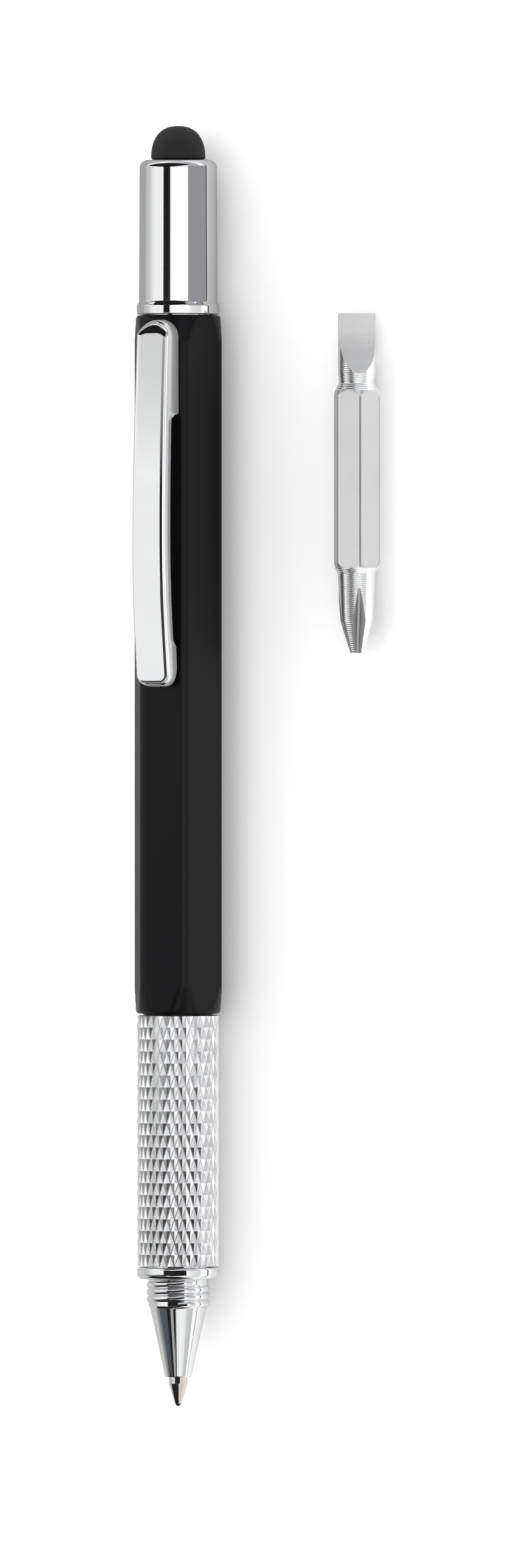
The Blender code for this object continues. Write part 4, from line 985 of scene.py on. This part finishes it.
class PEN_OT_bit(bpy.types.Operator):
    """Draw the loose bit: a hexagon with a hollow-ground blade and a cross point."""

    bl_idname = "tool_pen.bit"
    bl_label = "Screwdriver Bit"

    FINISHES = ("steel", "ground", "turned", "dark steel", "drawn")

    def execute(self, context):
        sizes = context.scene.pen_sizes
        length = BIT_HIGH.y - BIT_LOW.y
        top = length / 2
        flats = hexagon_reach(BIT_HIGH.z - BIT_LOW.z, sizes.bit_corner)

        def spread(low, high, count):
            return [low + (high - low) * step / count for step in range(count)]

        hexagon_low, shank, cone, tip = (
            length - back * MM for back in (10.65, 9.2, 3.75, 0.12))
        stations = [0, 0.04 * MM, 0.08 * MM, 2.5 * MM, 5 * MM, *spread(7.1 * MM, 8.1 * MM, 4),
                    *spread(8.1 * MM, 9.75 * MM, 20), 9.75 * MM, *spread(hexagon_low, shank, 20),
                    *spread(shank, cone, 6), *spread(cone, tip, 8), tip, length - 0.06 * MM,
                    length]
        bm = bmesh.new()
        ring = round_ring(bm, 168)
        first = {vert for edge in ring for vert in edge.verts}
        lay(first, top, lambda angle: min(flats(angle), bit_radius(0, length)))
        close_ring(bm, ring)
        for along in stations[1:]:
            ring = carry(bm, ring, top - along,
                         lambda angle: min(flats(angle), bit_radius(along, length)))
        close_ring(bm, ring)
        blade_end, cross_end, bright_edge = 9.0 * MM, 9.9 * MM, 0.3 * MM
        line_end, line_half = top - 10 * MM, math.radians(2.2)
        for face in bm.faces:
            centre = face.calc_center_median()
            y = centre.y
            if (top - blade_end < y < top - bright_edge
                    or -top + bright_edge < y < -top + cross_end):
                face.material_index = self.FINISHES.index("turned")
            turn = math.atan2(centre.x, centre.z)
            off_corner = turn % SIDE_TURN - CORNER_TURN
            # A thin band along each corner of the hexagon is painted dark: painted shade
            if abs(y) < line_end and abs(off_corner) < line_half:
                face.material_index = self.FINISHES.index("dark steel")
            # Every second flat is painted darker: painted shade
            elif face.material_index == 0 and round(turn / SIDE_TURN) % 2:
                face.material_index = self.FINISHES.index("drawn")
        finishing = finishes(context)
        materials = [finishing[name] for name in self.FINISHES]
        bit = finished(bm, "double_bit", "bit", "screwdriver_bit", materials,
                       lift=False)
        cut(bit, self.tool(top, materials))
        bit.data.transform(Matrix.Translation(BIT_CENTRE))
        bit.data.shade_smooth()
        bit.data.set_sharp_from_angle(angle=math.radians(34))
        return {"FINISHED"}

    def tool(self, top, materials):
        """What the grinding takes off: two hollows at the blade and four flutes at the cross."""
        bm = bmesh.new()
        facing = SIDE_TURN
        beyond = 4 * MM
        grind = ((-0.6, 0.32), (0, 0.35), (1.8, 0.45), (2.7, 0.55), (3.55, 0.7), (4.2, 0.86),
                 (4.8, 1.06), (5.3, 1.28), (5.8, 1.53), (6.3, 1.8), (6.7, 2.0), (7.1, 2.19),
                 (7.7, 2.5))
        for side in (facing, facing + math.pi):
            out, across = self.directions(side)
            rows = [self.corners(out, across, top - along * MM, depth * MM, beyond, beyond, beyond)
                    for along, depth in grind]
            bit_tool(bm, rows, self.FINISHES.index("ground"))
        flute_length, tip_bottom, half, clear = 7.9 * MM, 0.45 * MM, 0.13 * MM, 2.6 * MM
        slope = (2.2 * MM - tip_bottom) / flute_length
        flare = math.tan(math.radians(50))
        for number in range(4):
            out, across = self.directions(facing + math.pi / 2 * number)
            rows = []
            for along in (-0.3 * MM, flute_length + 0.6 * MM):
                bottom = tip_bottom + slope * along
                wide = max(half, (clear - bottom) * flare + half)
                rows.append(self.corners(out, across, along - top, bottom, half, clear, wide))
            # The flutes take the dark steel: painted shade in them
            bit_tool(bm, rows, self.FINISHES.index("dark steel"))
        bmesh.ops.recalc_face_normals(bm, faces=bm.faces)
        return as_object(bm, "bit_tool", materials)

    def directions(self, turn):
        """The direction out of the bit at an angle, and the one across it."""
        return (Vector((math.cos(turn), 0, math.sin(turn))),
                Vector((-math.sin(turn), 0, math.cos(turn))))

    def corners(self, out, across, y, bottom, half, clear, wide):
        """Four corners of a tool's section: the bottom's half width, then the open side's."""
        station = Vector((0, y, 0))
        return [out * reach + across * side + station for reach, side in (
            (bottom, -half), (bottom, half), (clear, wide), (clear, -wide))]


class PEN_OT_inner_parts(bpy.types.Operator):
    """Give the frame's own pieces their finishes."""

    bl_idname = "tool_pen.inner_parts"
    bl_label = "Inner Parts"

    def execute(self, context):
        finishing = finishes(context)
        chosen = {
            "holder_magnet": "inner steel", "cam_tube": "plastic", "friction_washer": "soft washer",
            # The drive tube's brass is painted dark: painted shade for the gap between barrel and
            # grip
            "cap_liner": "dark plastic", "stylus_post": "brass", "drive_tube": "brass in painted shade",
            "retaining_ring": "inner steel", "refill_tube": "inner steel", "ink_column": "ink",
            "refill_carrier": "plastic",
        }
        for node, name in chosen.items():
            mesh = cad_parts[node].data
            mesh.materials.clear()
            mesh.materials.append(finishing[name])
        return {"FINISHED"}


def bare_material(name, kind):
    """A material with one plain shader, and that shader's colour socket."""
    material = bpy.data.materials.new(name)
    material.use_nodes = True
    tree = material.node_tree
    tree.nodes.clear()
    shader = tree.nodes.new(kind)
    out = tree.nodes.new("ShaderNodeOutputMaterial")
    tree.links.new(shader.outputs[0], out.inputs["Surface"])
    return material, shader.inputs["Color"]


def share_between(tree, value, start, end):
    """A share that goes from 0 to 1 while a value goes from a start to an end."""
    reach = tree.nodes.new("ShaderNodeMapRange")
    reach.inputs["From Min"].default_value = start
    reach.inputs["From Max"].default_value = end
    tree.links.new(value, reach.inputs["Value"])
    return reach.outputs["Result"]


def shade(value):
    """A colour with its alpha, from a grey level or a colour."""
    return (*value, 1) if isinstance(value, tuple) else (value, value, value, 1)


def banded(tree, share, levels):
    """Grey levels or colours along a share from 0 to 1."""
    ramp = tree.nodes.new("ShaderNodeValToRGB")
    tree.links.new(share, ramp.inputs["Fac"])
    stops = ramp.color_ramp.elements
    stops.remove(stops[0])
    for number, (position, value) in enumerate(levels):
        stop = stops[0] if number == 0 else stops.new(position)
        stop.position = position
        stop.color = shade(value)
    return ramp.outputs["Color"]


def blended(tree, factor, first, second):
    """A mix of two colours, each a socket or a plain colour."""
    mix = tree.nodes.new("ShaderNodeMix")
    mix.data_type = "RGBA"
    tree.links.new(factor, mix.inputs["Factor"])
    for socket, value in ((mix.inputs["A"], first), (mix.inputs["B"], second)):
        if isinstance(value, tuple):
            socket.default_value = value
        else:
            tree.links.new(value, socket)
    return mix.outputs["Result"]


def flat_panel(name, centre, size, facing, material, spin=0):
    """A plain rectangle of the stage, turned to face a direction and then spun."""
    bm = bmesh.new()
    bmesh.ops.create_grid(bm, x_segments=1, y_segments=1, size=0.5)
    turn = Vector(facing).to_track_quat("Z", "Y").to_matrix().to_4x4()
    place = (Matrix.Translation(Vector(centre)) @ turn @ Matrix.Rotation(math.radians(spin), 4, "Z")
             @ Matrix.Diagonal((size[0], size[1], 1, 1)))
    bmesh.ops.transform(bm, matrix=place, verts=bm.verts)
    panel = as_object(bm, name, [material])
    return panel


class PEN_OT_stage(bpy.types.Operator):
    """Set the floor, the studio round it and the camera."""

    bl_idname = "tool_pen.stage"
    bl_label = "Stage"

    def execute(self, context):
        scene = context.scene
        scene.view_settings.view_transform = "Standard"
        self.floor()
        self.studio(scene)
        self.camera(scene)
        return {"FINISHED"}

    def floor(self):
        """A white floor that keeps the pen's shadow.

        In shiny metal it shows a painted reflection instead: greyer, lighter beside the grip, and
        with a painted dark line along the pen.
        """
        material, colour = bare_material("floor paper", "ShaderNodeBsdfDiffuse")
        tree = material.node_tree
        place = axes(tree)
        # Colour that only shiny metal sees: a painted reflection, greyer than the floor, lighter
        # beside the grip, with a painted dark line along the pen
        share = math_node(tree, "DIVIDE", place["X"], 40 * MM)
        line = ((0.435, 0.03), (0.495, 0.03))
        upper = banded(tree, share, ((0.0, 0.30), (0.1, 0.50), (0.42, 0.50), *line, (0.51, 0.9)))
        lower = banded(tree, share, ((0.0, 0.45), (0.1, 0.8), (0.42, 0.8), *line, (0.51, 0.8)))
        mirrored = blended(tree, share_between(tree, place["Y"], -38 * MM, -42 * MM), upper, lower)
        path = tree.nodes.new("ShaderNodeLightPath")
        paper = blended(tree, path.outputs["Is Glossy Ray"], (0.9, 0.9, 0.9, 1), mirrored)
        tree.links.new(paper, colour)
        flat_panel("floor", (0, 0, -0.02 * MM), (6, 6), (0, 0, 1), material)

    def studio(self, scene):
        """Soft light, mostly from the left, and bands that only shiny metal shows."""
        world = bpy.data.worlds.new("studio")
        scene.world = world
        world.use_nodes = True
        tree = world.node_tree
        background = tree.nodes["Background"]
        path = tree.nodes.new("ShaderNodeLightPath")
        direction = axes(tree, "Generated")
        angle = math_node(tree, "ARCTAN2", direction["X"], direction["Z"])
        share = math_node(tree, "ADD", 0.5, math_node(tree, "DIVIDE", angle, 2 * math.pi))

        def bands(levels):
            return banded(tree, share, [(degrees / 360 + 0.5, value) for degrees, value in levels])

        # Levels by degrees from straight up, positive towards the bit: first for what faces
        # across the pen, then for what leans towards one of its ends
        across = bands(((-120, 0.45), (-82, 0.62), (-70, 0.72), (-58, 0.97), (-46, 1.08),
                        (-35, 1.03), (-24, 1.12), (-20.5, 1.05), (-19, 0.013), (-2.5, 0.013),
                        (0, 1.05), (3, 1.25), (48, 1.3), (60, 0.95), (100, 0.8)))
        slate, haze, dull = (0.095, 0.108, 0.126), (0.66, 0.66, 0.69), (0.5, 0.5, 0.53)
        beside = bands(((-120, 0.5), (-86, 0.6), (-80, 0.34), (-50, 0.26), (-34, 0.14), (-24, 0.05),
                        (-5, 0.05), (4, 0.8), (14, 1.2), (50, 1.25), (65, 0.95), (100, 0.8)))
        below = bands(((-120, 0.5), (-80, 0.6), (-74, slate), (-30, slate), (-28, 0.015),
                       (-14, 0.015), (-11, 0.5), (3, 0.35), (6, 0.03), (10, 0.03), (13, 0.94),
                       (27, 1.0), (30, 1.1), (55, 1.0), (65, 0.7), (100, 0.65)))
        low_end = bands(((-120, 0.6), (-60, 0.45), (-45, 0.22), (-22, 0.22), (-10, 0.5),
                         (20, 1.0), (100, 0.9)))
        above = bands(((-120, 0.5), (-75, 0.9), (-50, 1.1), (-36, 1.05), (-29, 0.62), (-16, 0.6),
                       (-8, haze), (45, haze), (62, dull), (100, dull)))
        levels = across
        for side, edge in ((beside, (-0.10, -0.13)), (below, (-0.34, -0.37)),
                           (low_end, (-0.50, -0.54)), (above, (0.08, 0.22))):
            levels = blended(tree, share_between(tree, direction["Y"], *edge), levels, side)
        shiny = math_node(tree, "MAXIMUM", path.outputs["Is Glossy Ray"],
                          path.outputs["Is Transmission Ray"])
        soft = bands(((-90, 2.7), (-45, 2.7), (-38, 1.38), (0, 1.38), (10, 1.2), (90, 1.2)))
        lit = blended(tree, shiny, soft, levels)
        seen = blended(tree, path.outputs["Is Camera Ray"], lit, (1, 1, 1, 1))
        tree.links.new(seen, background.inputs["Color"])
        for name, centre, size, facing, value, spin in (
                ("overhead_card", (28, -82, 65), (66, 40), (0, 0, -1), 0.02, -15),
                ("clip_card", (-45, -3, 81), (68, 108), (1, 0, 0), 1.03, 0),
                ("cap_card", (20.1, 53.2, 10.5), (21, 23.6), (-1, 0, 0), (0.345, 0.345, 0.37), 0),
                ("line_card", (-5.6, 53, 24.5), (1.3, 19), (0, 0, -1), 0.013, 0),
                ("point_card", (-17, -105, 21), (66, 42), (0, 1, 0), 0.012, 0),
                ("end_card", (-24, 75, 105), (104, 170), (0, -1, 0), 0.012, 0)):
            self.card(name, [place * MM for place in centre], [side * MM for side in size],
                      facing, value, spin)

    def card(self, name, centre, size, facing, value, spin):
        """A card of one even shade that only shows in shiny surfaces."""
        material, colour = bare_material(name, "ShaderNodeEmission")
        colour.default_value = shade(value)
        panel = flat_panel(name, centre, size, facing, material, spin)
        panel.visible_camera = panel.visible_diffuse = panel.visible_shadow = False
        panel.visible_transmission = panel.visible_volume_scatter = False

    def camera(self, scene):
        """The photograph's view: from above, tilted towards the bit's side."""
        tilt = math.radians(22)
        distance, view_height, view_shift = 2.0, 183.75 * MM, 9.24 * MM
        right = Vector((math.cos(tilt), 0, -math.sin(tilt)))
        back = Vector((math.sin(tilt), 0, math.cos(tilt)))
        target = Vector((0, -14.0 * MM, AXIS_HEIGHT)) + right * view_shift
        data = bpy.data.cameras.new("view")
        data.lens = distance * data.sensor_width / view_height
        data.clip_start, data.clip_end = 0.1, 20
        camera = bpy.data.objects.new("view", data)
        up = Vector((0, 1, 0))
        camera.matrix_world = Matrix.Translation(target + back * distance) @ Matrix(
            (right, up, back)).transposed().to_4x4()
        scene.collection.objects.link(camera)
        scene.camera = camera


class PEN_PT_sidebar(bpy.types.Panel):
    """Lists the pen's pieces, sizes and colours."""

    bl_idname = "PEN_PT_sidebar"
    bl_label = "Multi Tool Pen"
    bl_space_type = "VIEW_3D"
    bl_region_type = "UI"
    bl_category = "Pen"

    def draw(self, context):
        for operator in OPERATORS:
            self.layout.operator(operator.bl_idname)
        for group in (context.scene.pen_sizes, context.scene.pen_colours):
            for name in group.bl_rna.properties.keys():
                if name not in ("rna_type", "name"):
                    self.layout.prop(group, name)


OPERATORS = (PEN_OT_barrel, PEN_OT_cap, PEN_OT_stylus, PEN_OT_bit_holder, PEN_OT_clip, PEN_OT_grip,
             PEN_OT_nose, PEN_OT_point, PEN_OT_bit, PEN_OT_inner_parts, PEN_OT_stage)
CLASSES = (PenSizes, PenColours, *OPERATORS, PEN_PT_sidebar)


def register():
    for each in CLASSES:
        bpy.utils.register_class(each)
    bpy.types.Scene.pen_sizes = PointerProperty(type=PenSizes)
    bpy.types.Scene.pen_colours = PointerProperty(type=PenColours)


def unregister():
    del bpy.types.Scene.pen_sizes
    del bpy.types.Scene.pen_colours
    for each in reversed(CLASSES):
        bpy.utils.unregister_class(each)


def main():
    """Draw every piece."""
    register()
    bpy.ops.tool_pen.barrel()
    bpy.ops.tool_pen.cap()
    bpy.ops.tool_pen.stylus()
    bpy.ops.tool_pen.bit_holder()
    bpy.ops.tool_pen.clip()
    bpy.ops.tool_pen.grip()
    bpy.ops.tool_pen.nose()
    bpy.ops.tool_pen.point()
    bpy.ops.tool_pen.bit()
    bpy.ops.tool_pen.inner_parts()
    bpy.ops.tool_pen.stage()


if __name__ == "__main__":
    main()
